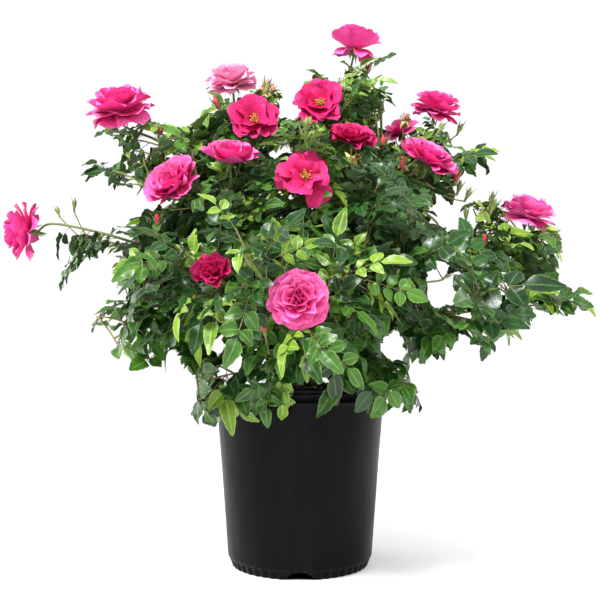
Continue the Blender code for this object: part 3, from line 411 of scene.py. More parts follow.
SKY = (                           # ellipses in the outline where sky shows: middle, half width and height
    ((440, 287), (13, 20)), ((451, 222), (10, 9)), ((393, 346), (10, 15)), ((149, 140), (8, 8)),
    ((440, 203), (5, 12)), ((283, 151), (8, 4)), ((464, 316), (9, 4)), ((123, 238), (8, 4)),
    ((443, 263), (7, 5)), ((136, 320), (5, 6)), ((218, 345), (5, 9)), ((463, 298), (5, 5)),
    ((223, 373), (8, 6)), ((471, 221), (4, 7)), ((122, 252), (8, 4)), ((237, 363), (5, 8)),
    ((515, 285), (5, 4)), ((512, 307), (4, 5)), ((178, 155), (5, 4)), ((354, 61), (5, 6)),
    ((191, 236), (3, 5)), ((174, 360), (7, 9)), ((151, 245), (4, 3)), ((159, 316), (4, 4)),
    ((165, 203), (4, 6)), ((132, 174), (4, 3)), ((453, 152), (3, 4)), ((479, 234), (3, 4)),
    ((498, 301), (4, 3)), ((227, 94), (4, 4)), ((113, 152), (4, 6)), ((466, 184), (6, 11)),
    ((391, 106), (3, 2)), ((480, 332), (7, 3)), ((108, 222), (9, 7)), ((213, 412), (3, 11)),
)
TRIM_STEPS = 16
ALL_BUT = 0.9999                  # the share of a run that still counts as on it
SHORTEST_SHOOT = 0.30             # of its full length, or it is left out
VIEW_CLEARANCE = 0.92             # of a bloom's radius, kept free of leaves towards the camera
BLOOM_CLEARANCE = 1.06            # of its radius, kept free all round its middle
WAY_CLEARANCE = 0.110             # how far out along its own way a bloom is kept free
FRONT_BLOOM = 0.10                # blooms in front of this y are seen from the camera


# Small helpers

def seen(point):
    """Where the camera sees a point, in pixels from the frame's top left corner, and how deep it lies."""
    offset = point - CAMERA_PLACE
    depth = offset.y * math.cos(CAMERA_PITCH) + offset.z * math.sin(CAMERA_PITCH)
    height = offset.z * math.cos(CAMERA_PITCH) - offset.y * math.sin(CAMERA_PITCH)
    scale = FRAME_SIZE * CAMERA_LENS / SENSOR / depth
    return FRAME_SIZE / 2 + offset.x * scale, FRAME_SIZE / 2 - height * scale, depth


def in_outline(point):
    """Whether a point is within the crown's outline from the front, and not in one of its openings."""
    across, down, _ = seen(point)
    for (middle_across, middle_down), (half_width, half_height) in SKY:
        if ((across - middle_across) / half_width) ** 2 + ((down - middle_down) / half_height) ** 2 < 1.0:
            return False
    inside = False
    for (x1, y1), (x2, y2) in zip(OUTLINE, OUTLINE[1:] + OUTLINE[:1]):
        if (y1 > down) != (y2 > down) and across < x1 + (down - y1) * (x2 - x1) / (y2 - y1):
            inside = not inside
    return inside


def seeded(*words):
    """A source of random numbers that is always the same for the same words."""
    return random.Random(":".join(str(word) for word in words))


def any_side(axis):
    """A direction square to an axis."""
    other = UP if abs(axis.normalized().z) < STEEP else Vector((1.0, 0.0, 0.0))
    return axis.cross(other).normalized()


def away(point):
    """The way out of the crown at a point."""
    return (point - HEART).normalized()


def arch_point(start, control, tip, share):
    """The point of a cane's arch at a share of its run."""
    return start.lerp(control, share).lerp(control.lerp(tip, share), share)


def along(points, distance):
    """The point at a distance along some points, and the direction there, or None past their end."""
    for first, second in zip(points, points[1:]):
        step = (second - first).length
        if distance <= step:
            return first.lerp(second, distance / step), (second - first).normalized()
        distance -= step
    return None


def run_length(points):
    """The length along some points."""
    return sum((second - first).length for first, second in zip(points, points[1:]))


class Piece:
    """A shape of points and faces, with what is needed to find what touches it."""

    def __init__(self, points, faces):
        self.points = points
        self.faces = faces
        self.low = Vector(min(point[axis] for point in points) for axis in range(3))
        self.high = Vector(max(point[axis] for point in points) for axis in range(3))
        triangles = [(face[0], *pair) for face in faces for pair in zip(face[1:], face[2:])]
        self.tree = BVHTree.FromPolygons(points, triangles, all_triangles=True)

    def touches(self, other):
        """Whether another piece comes into this one."""
        apart = any(
            self.low[axis] > other.high[axis] or other.low[axis] > self.high[axis] for axis in range(3)
        )
        return not apart and bool(self.tree.overlap(other.tree))


class Room:
    """Pieces sorted by the cells of a grid, to find which of them another piece touches."""

    def __init__(self):
        self.cells = defaultdict(list)

    def cells_of(self, piece):
        """The cells that a piece's box reaches into."""
        low = [math.floor(value / ROOM_CELL) for value in piece.low]
        high = [math.floor(value / ROOM_CELL) for value in piece.high]
        for x in range(low[0], high[0] + 1):
            for y in range(low[1], high[1] + 1):
                for z in range(low[2], high[2] + 1):
                    yield x, y, z

    def add(self, piece):
        """Takes the room that a piece needs."""
        for cell in self.cells_of(piece):
            self.cells[cell].append(piece)

    def meets(self, piece, but=()):
        """Whether a piece touches one that stands here already."""
        met = set(id(other) for other in but)
        for cell in self.cells_of(piece):
            for other in self.cells.get(cell, ()):
                if id(other) not in met:
                    met.add(id(other))
                    if piece.touches(other):
                        return True
        return False


def swollen(points, faces, amount):
    """The points of a shape, moved outwards by an amount."""
    normals = [Vector() for _ in points]
    for face in faces:
        first, second, third = (points[corner] for corner in face[:3])
        normal = (second - first).cross(third - first).normalized()
        for corner in face:
            normals[corner] += normal
    return [point + normal.normalized() * amount for point, normal in zip(points, normals)]


def tube(points, radii, sides, foot_normal=None):
    """A cane or shoot along some points, with a flat cap at each end. A foot normal tilts the first cap."""
    ring_points = []
    last = len(points) - 1
    side = any_side(points[1] - points[0])
    for index, point in enumerate(points):
        axis = (points[min(index + 1, last)] - points[max(index - 1, 0)]).normalized()
        side = (side - axis * side.dot(axis)).normalized()
        other = axis.cross(side)
        for corner in range(sides):
            angle = math.tau * corner / sides
            offset = (side * math.cos(angle) + other * math.sin(angle)) * radii[index]
            if index == 0 and foot_normal:
                offset -= axis * (offset.dot(foot_normal) / axis.dot(foot_normal))
            ring_points.append(point + offset)
    faces = [tuple(reversed(range(sides)))]
    for index in range(last):
        for corner in range(sides):
            following = (corner + 1) % sides
            low = index * sides
            high = low + sides
            faces.append((low + corner, low + following, high + following, high + corner))
    faces.append(tuple(range(last * sides, (last + 1) * sides)))
    return ring_points, faces


def turned(rings, sides, crown, scallop=0.0):
    """A turned shape: rings of (radius, height) along +Z, a flat foot and a point at the crown's height."""
    points = []
    for order, (radius, height) in enumerate(rings):
        for corner in range(sides):
            angle = math.tau * (corner + 0.5 * (order % 2)) / sides
            wave = 1.0 + scallop * (1 if corner % 2 else -1) * (order > 0)
            points.append(Vector((radius * wave * math.cos(angle), radius * wave * math.sin(angle), height)))
    faces = [tuple(reversed(range(sides)))]
    for order in range(len(rings) - 1):
        low = order * sides
        high = low + sides
        for corner in range(sides):
            following = (corner + 1) % sides
            if order % 2:
                faces.append((low + corner, high + following, high + corner))
                faces.append((low + corner, low + following, high + following))
            else:
                faces.append((low + corner, low + following, high + corner))
                faces.append((low + following, high + following, high + corner))
    points.append(Vector((0.0, 0.0, crown)))
    top = (len(rings) - 1) * sides
    for corner in range(sides):
        faces.append((top + corner, top + (corner + 1) % sides, len(points) - 1))
    return points, faces


def turn_to(heading, normal):
    """The turn that takes X to a heading and Z to a normal."""
    return Matrix((heading, normal.cross(heading), normal)).transposed()


def placed(points, foot, *turns):
    """Points turned by some matrices, one after another, and moved to a foot."""
    for turn in turns:
        points = points @ turn.T
    return points + foot


def fan(start, sides, middle):
    """Triangles from a ring of points, the first of them at a start, to a middle. All are point numbers."""
    return [(start + corner, start + (corner + 1) % sides, middle) for corner in range(sides)]


def turned_over(faces):
    """Faces that look the other way."""
    return [face[::-1] for face in faces]


def round_grid(rows, sides):
    """The numbers of the points of some rings, a row for each, with the first point again at the end."""
    index = np.arange(rows * sides).reshape(rows, sides)
    return np.concatenate((index, index[:, :1]), axis=1)


def facing(points, place, way):
    """Points of a turned shape, set at a place with its Z along a way."""
    turn = turn_to(any_side(way), way)
    return [place + turn @ point for point in points]


# Growth, by the source's rule

class Shoot:
    """A stem or a side shoot: the points that it runs along, and its shape."""

    def __init__(self, points, radii, sides, foot_normal=None):
        self.points = points
        self.radii = radii
        self.length = run_length(points)
        self.end_way = (points[-1] - points[-2]).normalized()
        self.piece = Piece(*tube(points, radii, sides, foot_normal))
        self.bare_end = True      # until it carries a flower or a bud
        self.carried = None       # the bud, once it carries one
        self.used = 0.0           # how far along it something grows
        self.parent = None        # the shoot that carries it, and how far along that is


class Spray:
    """One foliage mass and the cane that it carries on from."""

    def __init__(self, row, parent, foot_bearing):
        self.name, _, joint, tip, self.end, way, self.shoot_length = row
        self.way = Vector(way).normalized()
        self.tip = Vector(tip)
        self.pieces = []
        self.shoots = []
        self.flowers = []
        self.buds = []
        self.blooms = []
        self.leaves = []
        if self.end in FLOWERS:
            self.tip -= self.way * (NECK_DROP * FLOWER_RADIUS + FLOWER_COLLAR)
        if parent is None:
            self.grow_root_cane(foot_bearing)
        else:
            self.grow_side_cane(parent, joint)
        self.grow_stem()

    def grow_root_cane(self, bearing):
        """The cane of a mass that rises from the stem base."""
        outward = Vector((math.cos(bearing), math.sin(bearing), 0.0))
        height = MIX_TOP[1] + GAP + BASE_HEIGHT + GAP
        self.run(outward * FOOT_RING_RADIUS + UP * height, ARCH_REACH)
        self.shape_cane(CANE_RADIUS, UP)

    def grow_side_cane(self, parent, joint):
        """The cane of a mass that leaves another cane."""
        step = int(joint)
        low, high = parent.cane_points[step : step + 2]
        axis = (high - low).normalized()
        start = low.lerp(high, joint - step)
        self.run(start, SIDE_ARCH_REACH)
        way = (self.cane_points[1] - start).normalized()
        normal = (way - axis * way.dot(axis)).normalized()
        self.cane_points[0] = start + way * ((parent.cane_radius + 2 * GAP) / way.dot(normal))
        self.shape_cane(SIDE_CANE_RADIUS, normal)

    def shape_cane(self, radius, foot_normal):
        """The cane's own space."""
        self.cane_radius = radius
        radii = [radius + (CANE_TIP_RADIUS - radius) * step / CANE_STEPS for step in range(CANE_STEPS + 1)]
        self.cane = Piece(*tube(self.cane_points, radii, CANE_SIDES, foot_normal))

    def run(self, start, reach):
        """Lays the cane and the stem along one arch from a start to the tip."""
        across = self.tip - start
        rise = max(across.z * ARCH_RISE, LEAST_RISE)
        control = start + Vector((across.x * reach, across.y * reach, rise))
        samples = [step / ARCH_SAMPLES for step in range(ARCH_SAMPLES + 1)]
        length = run_length([arch_point(start, control, self.tip, share) for share in samples])
        split = 1.0 - min(STEM_SHARE, LONGEST_STEM / length)
        cane_shares = [split * step / CANE_STEPS for step in range(CANE_STEPS + 1)]
        stem_shares = [split + (1.0 - split) * step / STEM_STEPS for step in range(STEM_STEPS + 1)]
        self.arch = (start, control, split)
        self.cane_points = [arch_point(start, control, self.tip, share) for share in cane_shares]
        self.stem_points = [arch_point(start, control, self.tip, share) for share in stem_shares]

    def grow_stem(self):
        """The stem, which carries on from the tip of the cane, and what ends it."""
        points = self.stem_points
        way = (points[1] - points[0]).normalized()
        foot_normal = (self.cane_points[-1] - self.cane_points[-2]).normalized()
        points[0] = points[0] + way * (GAP / way.dot(foot_normal))
        if self.end in FLOWERS:
            points.append(self.tip + self.way * (FLOWER_COLLAR + SINK))
        last = len(points) - 1
        taper = (STEM_TIP_RADIUS - CANE_TIP_RADIUS) / last
        radii = [CANE_TIP_RADIUS + taper * step for step in range(last + 1)]
        stem = self.add_shoot(Shoot(points, radii, STEM_SIDES, foot_normal))
        if self.end in FLOWERS:
            self.add_flower(stem, self.end, self.tip + self.way * FLOWER_COLLAR, self.way, FLOWER_RADIUS)
        if self.end == "bud":
            self.add_bud(stem)

    def add_shoot(self, shoot):
        """Keeps a shoot, and its space."""
        self.shoots.append(shoot)
        self.pieces.append(shoot.piece)
        return shoot

    def add_flower(self, shoot, form, neck, way, radius):
        """The space of a flower that holds the end of a shoot."""
        rings, crown = FLOWERS[form]
        rings = [(wide * radius, high * radius) for wide, high in rings]
        rings.insert(0, (NECK_RADIUS, -NECK_DROP * radius))
        points, faces = turned(rings, PETAL_SIDES, crown * radius, SCALLOP)
        middle = neck + way * (NECK_DROP * radius)
        self.pieces.append(Piece(facing(points, middle, way), faces))
        self.flowers.append((middle, way, radius, shoot))
        shoot.bare_end = False

    def add_bud(self, shoot):
        """The space of a bud that holds the end of a shoot."""
        points, faces = turned(BUD_RINGS, BUD_SIDES, BUD_TIP)
        foot = shoot.points[-1] - shoot.end_way * SINK
        self.pieces.append(Piece(facing(points, foot, shoot.end_way), faces))
        self.buds.append((foot, shoot.end_way))
        shoot.carried = self.buds[-1], self.pieces[-1]
        shoot.bare_end = False

    def grow_flower_shoot(self, middle, form, way, radius):
        """A shoot from the stem to a further flower."""
        way = Vector(way).normalized()
        neck = Vector(middle) - way * (NECK_DROP * radius)
        stem = self.shoots[0]
        start, _ = along(stem.points, MORE_SHOOT_SHARE * stem.length)
        control = neck - way * (FLOWER_SHOOT_BEND * (neck - start).length)
        points = [arch_point(start, control, neck, share) for share in FLOWER_SHOOT_SHARES]
        shoot = self.add_shoot(Shoot(points + [neck + way * SINK], SHOOT_RADII, SHOOT_SIDES))
        self.add_flower(shoot, form, neck, way, radius)

    def grow_side_shoot(self, order, solids, others):
        """A side shoot from the stem, turned until it has room, or left out where it finds none."""
        stem = self.shoots[0]
        share = (order + FIRST_SHOOT) / (SIDE_SHOOTS + FIRST_SHOOT)
        start, axis = along(stem.points, share * run_length(self.stem_points))
        chance = seeded(self.name, "shoot", order)
        spin = chance.uniform(0.0, math.tau)
        length = self.shoot_length * chance.uniform(*SHOOT_LENGTHS)
        for attempt in range(SHOOT_TRIES):
            points = shoot_points(start, axis, spin + attempt * GOLDEN_TURN, length)
            shoot = Shoot(points, SHOOT_RADII, SHOOT_SIDES)
            roomy = all((point - other).length > SHOOT_ROOM for point in points[1:] for other in others)
            if roomy and not blocked(shoot.piece, SHOOT_FOOT_FACES, stem.piece, solids + self.pieces):
                self.add_shoot(shoot)
                shoot.parent = stem, share * run_length(self.stem_points)
                if order % BUD_EVERY == BUD_EVERY - 1:
                    self.add_bud(shoot)
                return

    def grow_fine_shoot(self, carrier, share, scale, words, room, blooms):
        """A finer shoot or twig, which may pass close by others but not through a flower or a cane."""
        start, axis = along(carrier.points, share * carrier.length)
        chance = seeded(self.name, *words)
        spin = chance.uniform(0.0, math.tau)
        length = self.shoot_length * scale * chance.uniform(*SHOOT_LENGTHS)
        for attempt in range(SHOOT_TRIES):
            points = trimmed(shoot_points(start, axis, spin + attempt * GOLDEN_TURN, length))
            if not points or hangs_low(points) or blooms.hidden_by(points):
                continue
            shoot = Shoot(points, FINE_RADII, SHOOT_SIDES)
            if not room.meets(shoot.piece, (carrier.piece,)):
                room.add(shoot.piece)
                shoot.parent = carrier, share * carrier.length
                self.shoots.append(shoot)
                return

    def trim(self):
        """Cuts the side shoots back to the crown's outline. A shoot that is cut back loses its bud."""
        kept = []
        for shoot in self.shoots:
            if shoot.radii is SHOOT_RADII and (shoot.bare_end or shoot.carried):
                points = trimmed(shoot.points)
                if points is not shoot.points:
                    self.pieces.remove(shoot.piece)
                    if shoot.carried:
                        self.buds.remove(shoot.carried[0])
                        self.pieces.remove(shoot.carried[1])
                    if not points:
                        continue
                    parent = shoot.parent
                    shoot = Shoot(points, SHOOT_RADII, SHOOT_SIDES)
                    shoot.parent = parent
                    self.pieces.append(shoot.piece)
            kept.append(shoot)
        self.shoots = kept

    def turn_flowers(self):
        """Turns each flower the way its bloom faces, and bends its shoot to it, or makes it a bud."""
        looks = [BLOOMS.get(self.name)] if self.end in FLOWERS else []
        if self.name in MORE_BLOOMS:
            looks.append(MORE_BLOOMS[self.name])
        for look, (middle, way, radius, shoot) in zip(looks, self.flowers):
            if not look:
                self.buds.append((middle - way * (NECK_DROP * radius), way))
                continue
            form, tone, scale, faced, *shift = look
            faced = Vector(faced).normalized()
            radius *= scale
            middle = middle + Vector(*shift)
            foot = middle - faced * (RECEPTACLE_DROP * radius)
            self.blooms.append((form, tone, middle, faced, radius, foot))
            self.pieces.remove(shoot.piece)
            shoot.points[-1] = foot - faced * CALYX_DROP
            shoot.length = run_length(shoot.points)
            shoot.piece = Piece(*tube(shoot.points, shoot.radii, SHOOT_SIDES))
            self.pieces.append(shoot.piece)

    def near_place(self, point, wanted, drop):
        """The place on the shoots about a wanted distance from a point, and at least a drop below it."""
        best = None
        for shoot in self.shoots:
            for step in range(1, PLACE_STEPS):
                distance = shoot.length * step / PLACE_STEPS
                place, _ = along(shoot.points, distance)
                too_high = max(0.0, place.z - point.z + drop)
                fit = abs((place - point).length - wanted) + PLACE_WEIGHT * too_high
                if best is None or fit < best[0]:
                    best = (fit, place, shoot, distance)
        return best[1:]

    def grow_tip_shoot(self, tip, room):
        """A shoot that ends at a given tip."""
        start, shoot, distance = self.near_place(tip, TIP_SHOOT_LENGTH, TIP_SHOOT_DROP)
        across = tip - start
        control = start + across * 0.5 + UP * (TIP_SHOOT_ARCH * across.length)
        points = [arch_point(start, control, tip, share) for share in SHOOT_SHARES]
        made = Shoot(points, FINE_RADII, SHOOT_SIDES)
        made.parent = shoot, distance
        room.add(made.piece)
        self.shoots.append(made)

    def under_top(self, leaf):
        """Whether a leaf stays inside the crown's dome, or below the tip of its own mass's stem."""
        if leaf.high.z < self.tip.z + ABOVE_TIP:
            return True
        return all(
            sum(((point[axis] - DOME_MIDDLE[axis]) / DOME_RADII[axis]) ** 2 for axis in range(3)) < 1.0
            for point in leaf.points
        )

    def grow_leaves(self, templates, room, blooms):
        """Leaves along every shoot, and one at the end of each that carries nothing there."""
        around = (templates, room, blooms)
        for order, shoot in enumerate(self.shoots):
            chance = seeded(self.name, "fine leaves", order)
            spin = chance.uniform(0.0, math.tau)
            distance = FIRST_LEAF
            while distance < shoot.length - LAST_LEAF:
                place, axis = along(shoot.points, distance)
                tip_share = distance / shoot.length
                if self.grow_leaf(shoot, place, axis, spin, LEAF_LEAN, tip_share, chance, *around):
                    shoot.used = distance
                spin += LEAF_TURN
                distance += LEAF_SPACING
            place = shoot.points[-1] - shoot.end_way * END_LEAF_INSET
            at_end = (place, shoot.end_way, spin, 0.0, 1.0)
            if not shoot.bare_end or self.grow_leaf(shoot, *at_end, chance, *around):
                shoot.used = shoot.length

    def grow_leaf(self, shoot, place, axis, spin, lean, tip_share, chance, templates, room, blooms):
        """A leaf on a shoot, turned or made smaller until it has room, or left out where it finds none."""
        out = np.interp((place - HEART).length / (self.tip - HEART).length, *OUTER_SHARES)
        tone = pick_tone(SPRAY_TONES.get(self.name, DEFAULT_TONES), (tip_share + out) / 2, chance)
        template = chance.choice(templates[tone])
        size = chance.uniform(*SIZE_RANGE) * np.interp(place.z, *SIZE_BY_HEIGHT)
        size = size * LEAF_SIZES.get(self.name, 1.0)
        roll = chance.uniform(-FINE_LEAF_ROLL, FINE_LEAF_ROLL)
        droop = chance.uniform(*LEAF_DROOP[tone])
        sag = chance.uniform(*LEAF_SAG)
        # Painted shade: the deeper a leaf lies in the crown, the darker its colour may be, beside its random
        # tone
        shade = chance.random() * (INNER_PAINTED_SHADE + (1.0 - INNER_PAINTED_SHADE) * out)
        small = chance.choice(templates[tone, "small"])
        tries = [(template, *attempt) for attempt in LEAF_TRIES]
        tries += [(small, *attempt) for attempt in SMALL_LEAF_TRIES]
        for template, turn, scale in tries:
            side = Matrix.Rotation(spin + math.radians(turn), 3, axis) @ any_side(axis)
            heading = axis * math.cos(lean) + side * math.sin(lean) + away(place) * FINE_LEAF_OUTWARD
            heading = (heading.normalized() - UP * sag).normalized()
            if heading.dot(away(place)) < INWARD_LIMIT:
                continue
            light = LIGHT_BACK if self.tip.y > BACK_FROM else LIGHT_FRONT
            light = light + away(place) * FINE_LIGHT_OUTWARD
            normal = (light - heading * light.dot(heading)).normalized()
            normal.rotate(Matrix.Rotation(roll, 3, heading))
            turn_matrix = turn_to(heading, normal)
            points = [place + turn_matrix @ bent(point, size * scale, droop) for point in template.outline]
            leaf = Piece(points, template.outline_faces)
            if hangs_low(points) or not self.under_top(leaf) or blooms.hidden_by(points):
                continue
            if not all(in_outline(point) and in_reach(point) for point in points):
                continue
            if not room.meets(leaf, (shoot.piece,)):
                room.add(leaf)
                self.leaves.append((tone, template, place, turn_matrix, size * scale, droop, shade))
                return True
        return False


def shoot_points(start, axis, spin, length):
    """The points of a shoot that leaves another one, turned about it by a spin."""
    side = Matrix.Rotation(spin, 3, axis) @ any_side(axis)
    way = axis * math.cos(SHOOT_LEAN) + side * math.sin(SHOOT_LEAN) + away(start) * SHOOT_OUTWARD
    way.normalize()
    return [start + (way * share + UP * (SHOOT_LIFT * share * share)) * length for share in SHOOT_SHARES]


def trimmed(points):
    """The points of a shoot, cut back where it leaves the crown's outline. None if too little is left."""
    last = len(points) - 1
    length = run_length(points)
    for step in range(1, TRIM_STEPS + 1):
        place, _ = along(points, length * min(step / TRIM_STEPS, ALL_BUT))
        if not (in_outline(place) and in_reach(place)):
            share = (step - 1) / TRIM_STEPS
            if share < SHORTEST_SHOOT:
                return None
            return [along(points, length * share * order / last)[0] for order in range(last + 1)]
    return points


def in_reach(point):
    """Whether a point is within the reach of the source's solids."""
    return all(CAD_LOW[axis] - OVER_REACH < point[axis] < CAD_HIGH[axis] + OVER_REACH for axis in range(3))


class Blooms:
    """Where the blooms are, to keep leaves and twigs from hiding them."""

    def __init__(self, sprays):
        self.places = []
        self.ways = []
        for spray in sprays:
            for _, _, middle, way, radius, _ in spray.blooms:
                self.places.append((middle, radius * BLOOM_CLEARANCE))
                self.ways.append((middle, way, WAY_CLEARANCE, radius * VIEW_CLEARANCE))
                if middle.y < FRONT_BLOOM:
                    toward = CAMERA_PLACE - middle
                    self.ways.append((middle, toward.normalized(), toward.length, radius * VIEW_CLEARANCE))

    def hidden_by(self, points):
        """Whether one of some points is in a bloom or stands in front of it."""
        if any((point - middle).length < radius for middle, radius in self.places for point in points):
            return True
        for middle, way, reach, radius in self.ways:
            for point in points:
                offset = point - middle
                out = offset.dot(way)
                if 0.0 < out < reach and (offset - way * out).length < radius:
                    return True
        return False


def hangs_low(points):
    """Whether some points are below the crown's lower edge, which rises away from the pot."""
    return any(
        point.z < LOWEST_LEAF + LOW_SLOPE * max(math.hypot(point.x, point.y) - LOW_RADIUS, 0.0)
        for point in points
    )


def blocked(shape, foot_faces, carrier, others):
    """Whether a shape comes too near to others. Its first faces may meet the shoot that carries it."""
    points = swollen(shape.points, shape.faces, CLEARANCE)
    if Piece(points, shape.faces[foot_faces:]).touches(carrier):
        return True
    whole = Piece(points, shape.faces)
    return any(whole.touches(other) for other in others if other is not carrier)


def bent(point, size, droop):
    """A point of a leaf at the leaf's own size, where the leaf has bent down under its weight."""
    x = point[0] * size
    return Vector((x, point[1] * size, point[2] * size - droop * x * x))


def pick_tone(shares, tip_share, chance):
    """The tone of a leaf. Leaves near the end of a shoot are younger; deep in the crown they are darker,
    partly as painted shade.
    """
    dark, mid, young = shares
    young *= YOUNG_GAIN[0] + YOUNG_GAIN[1] * tip_share
    dark *= DARK_GAIN[0] + DARK_GAIN[1] * tip_share
    return chance.choices(TONES, (dark, mid, young))[0]


def grow_sprays(templates):
    """Every foliage mass with its cane: first what the source has, then what is finer."""
    root_rows = [row for row in SPRAYS if row[1] == "foot"]
    root_rows.sort(key=lambda row: math.atan2(row[3][1], row[3][0]))
    first_bearing = math.atan2(root_rows[0][3][1], root_rows[0][3][0])
    sprays = {}
    for row in SPRAYS:
        bearing = 0.0
        if row in root_rows:
            bearing = first_bearing + math.tau * root_rows.index(row) / len(root_rows)
        sprays[row[0]] = Spray(row, sprays.get(row[1]), bearing)
    for name, *flower in MORE_FLOWERS:
        sprays[name].grow_flower_shoot(*flower)
    sprays = list(sprays.values())
    pot_space, base_space = (
        Piece(*tube([Vector(), UP * height], [radius, radius], SPACE_SIDES))
        for height, radius in ((MIX_TOP[1], BEAD_RADIUS), (MIX_TOP[1] + BASE_HEIGHT, BASE_RADIUS))
    )
    solids = [pot_space, base_space] + [spray.cane for spray in sprays]
    for order in range(SIDE_SHOOTS):
        for spray in sprays:
            rest = [other for other in sprays if other is not spray]
            taken = [point for other in rest for shoot in other.shoots for point in shoot.points]
            pieces = [piece for other in rest for piece in other.pieces]
            spray.grow_side_shoot(order, solids + pieces, taken)
    for spray in sprays:
        spray.trim()
        spray.turn_flowers()
    blooms = Blooms(sprays)
    room = Room()
    for piece in solids + [piece for spray in sprays for piece in spray.pieces]:
        room.add(piece)
    by_name = {spray.name: spray for spray in sprays}
    for name, tip in TIPS:
        by_name[name].grow_tip_shoot(Vector(tip), room)
    for spray in sprays:
        grow_fine_shoots(spray, room, blooms)
    for spray in sprays:
        spray.grow_leaves(templates, room, blooms)
    return sprays


def grow_fine_shoots(spray, room, blooms):
    """The further shoots of a stem, and the twigs of its side shoots."""
    stem, *side_shoots = spray.shoots
    side_shoots = [shoot for shoot in side_shoots if shoot.radii is SHOOT_RADII]
    for order in range(FINE_SHOOTS):
        share = (order + 0.5) / FINE_SHOOTS * run_length(spray.stem_points) / stem.length
        spray.grow_fine_shoot(stem, share, FINE_SHOOT_SCALE, ("fine shoot", order), room, blooms)
    for order, shoot in enumerate(side_shoots):
        for place in TWIG_PLACES:
            spray.grow_fine_shoot(shoot, place, TWIG_SCALE, ("twig", order, place), room, blooms)


# Joined meshes

class Heap:
    """Points and triangles gathered for one piece. Materials read the shade and the reach of each point."""

    def __init__(self, name, materials, slot, crease=math.radians(60)):
        self.name = name
        self.materials = materials
        self.slot = slot
        self.crease = crease
        self.points = []
        self.faces = []
        self.finishes = []
        self.shades = []
        self.reaches = []
        self.count = 0

    def add(self, points, faces, finish=0, shade=0.5, reach=0.0):
        """Adds a shape, whose finish and reach are the same all over or given for each face and point."""
        points = np.asarray(points, float)
        faces = np.asarray(faces, int)
        self.points.append(points)
        self.faces.append(faces + self.count)
        self.finishes.append(np.broadcast_to(finish, len(faces)))
        self.shades.append(np.broadcast_to(shade, len(points)))
        self.reaches.append(np.broadcast_to(reach, len(points)))
        self.count += len(points)

    def make(self, *replaced):
        """The piece, as an object that rides on the root body."""
        points = np.concatenate(self.points)
        faces = np.concatenate(self.faces)
        mesh = bpy.data.meshes.new(self.name)
        mesh.vertices.add(len(points))
        mesh.vertices.foreach_set("co", points.ravel())
        mesh.loops.add(faces.size)
        mesh.loops.foreach_set("vertex_index", faces.ravel())
        mesh.polygons.add(len(faces))
        mesh.polygons.foreach_set("loop_start", np.arange(0, faces.size, 3))
        for name in self.materials:
            mesh.materials.append(bpy.data.materials[name])
        mesh.polygons.foreach_set("material_index", np.concatenate(self.finishes))
        for name, values in (("shade", self.shades), ("reach", self.reaches)):
            mesh.attributes.new(name, "FLOAT", "POINT").data.foreach_set("value", np.concatenate(values))
        mesh.update(calc_edges=True)
        mesh.shade_smooth()
        mesh.set_sharp_from_angle(angle=self.crease)
        return place_piece(self.name, mesh, replaced)


def place_piece(name, mesh, replaced):
    """An object of a mesh, which rides on the root body and stands for some nodes of the frame."""
    made = bpy.data.objects.new(name, mesh)
    bpy.context.scene.collection.objects.link(made)
    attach(made, "root")
    if replaced:
        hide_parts(*replaced)
    return made


def triangles(faces):
    """Faces of any number of corners, as triangles."""
    return [(face[0], *pair) for face in faces for pair in zip(face[1:], face[2:])]


def round_tube(points, radii, sides):
    """The points and triangles of a tube."""
    ring_points, faces = tube(points, radii, sides)
    return ring_points, triangles(faces)


def smooth_points(points, step):
    """Points along a smooth curve through some points."""
    count = max(2, int(run_length(points) / step))
    padded = [points[0] * 2 - points[1]] + list(points) + [points[-1] * 2 - points[-2]]
    spans = len(points) - 1
    curve = []
    for index in range(count + 1):
        share = index / count * spans
        span = min(int(share), spans - 1)
        t = share - span
        before, first, second, after = padded[span : span + 4]
        curve.append(
            0.5 * (
                2 * first + (second - before) * t + (2 * before - 5 * first + 4 * second - after) * t * t
                + (3 * first - before - 3 * second + after) * t * t * t
            )
        )
    return curve


# Leaves

STALK_LENGTHS = (0.017, 0.026)    # to the first pair
PAIR_SPACINGS = (0.70, 0.80)      # beside a leaflet's length
END_SPACINGS = (0.30, 0.42)
PAIR_TURNS = (58, 76)             # degrees between the stalk and a paired leaflet
PAIR_JITTER = 0.0015
PAIR_SIZES = (0.78, 0.92)         # beside the leaflet at the end
FIRST_PAIR_SIZE = 0.86            # of a leaf of three pairs, beside the others
END_TURN = 0.15
END_SIZE = 1.12
STALK_SIDE = 0.0007               # where a leaflet grows from, beside the stalk's middle
STALK_TOP = 0.0004
STALK_RADII = (0.0009, 0.0007, 0.0006, 0.0005, 0.0004)
LEAFLET_WIDTHS = (0.9, 1.08)
LEAFLET_LIFTS = (-0.30, 0.25)     # radians up or down from its foot
LEAFLET_TWIST = 0.32              # radians about its own length
LEAFLET_TILT = 0.12               # radians that a pair's outer edges are lower by
LEAFLET_BELLY = 0.78              # below 1, a leaflet is widest nearer to its foot
LEAFLET_FULLNESS = 0.86           # below 1, it stays wide for longer
COARSE_CORNERS = ((0.0, 0.0), (0.42, -0.46), (1.0, 0.0), (0.42, 0.46))
LEAFLET_DROOPS = (0.05, 0.70)
LEAFLET_WAVES = (0.02, 0.12)
WAVE_TURNS = 9.0                  # radians of the rim's wave along a leaflet
NOTCH_PLACE = 0.025               # how far past its step a notch lies
TOOTH_PLACE = 0.84                # how far along its step a tooth's tip lies, and where its width is read
TOOTH_READ = 0.60


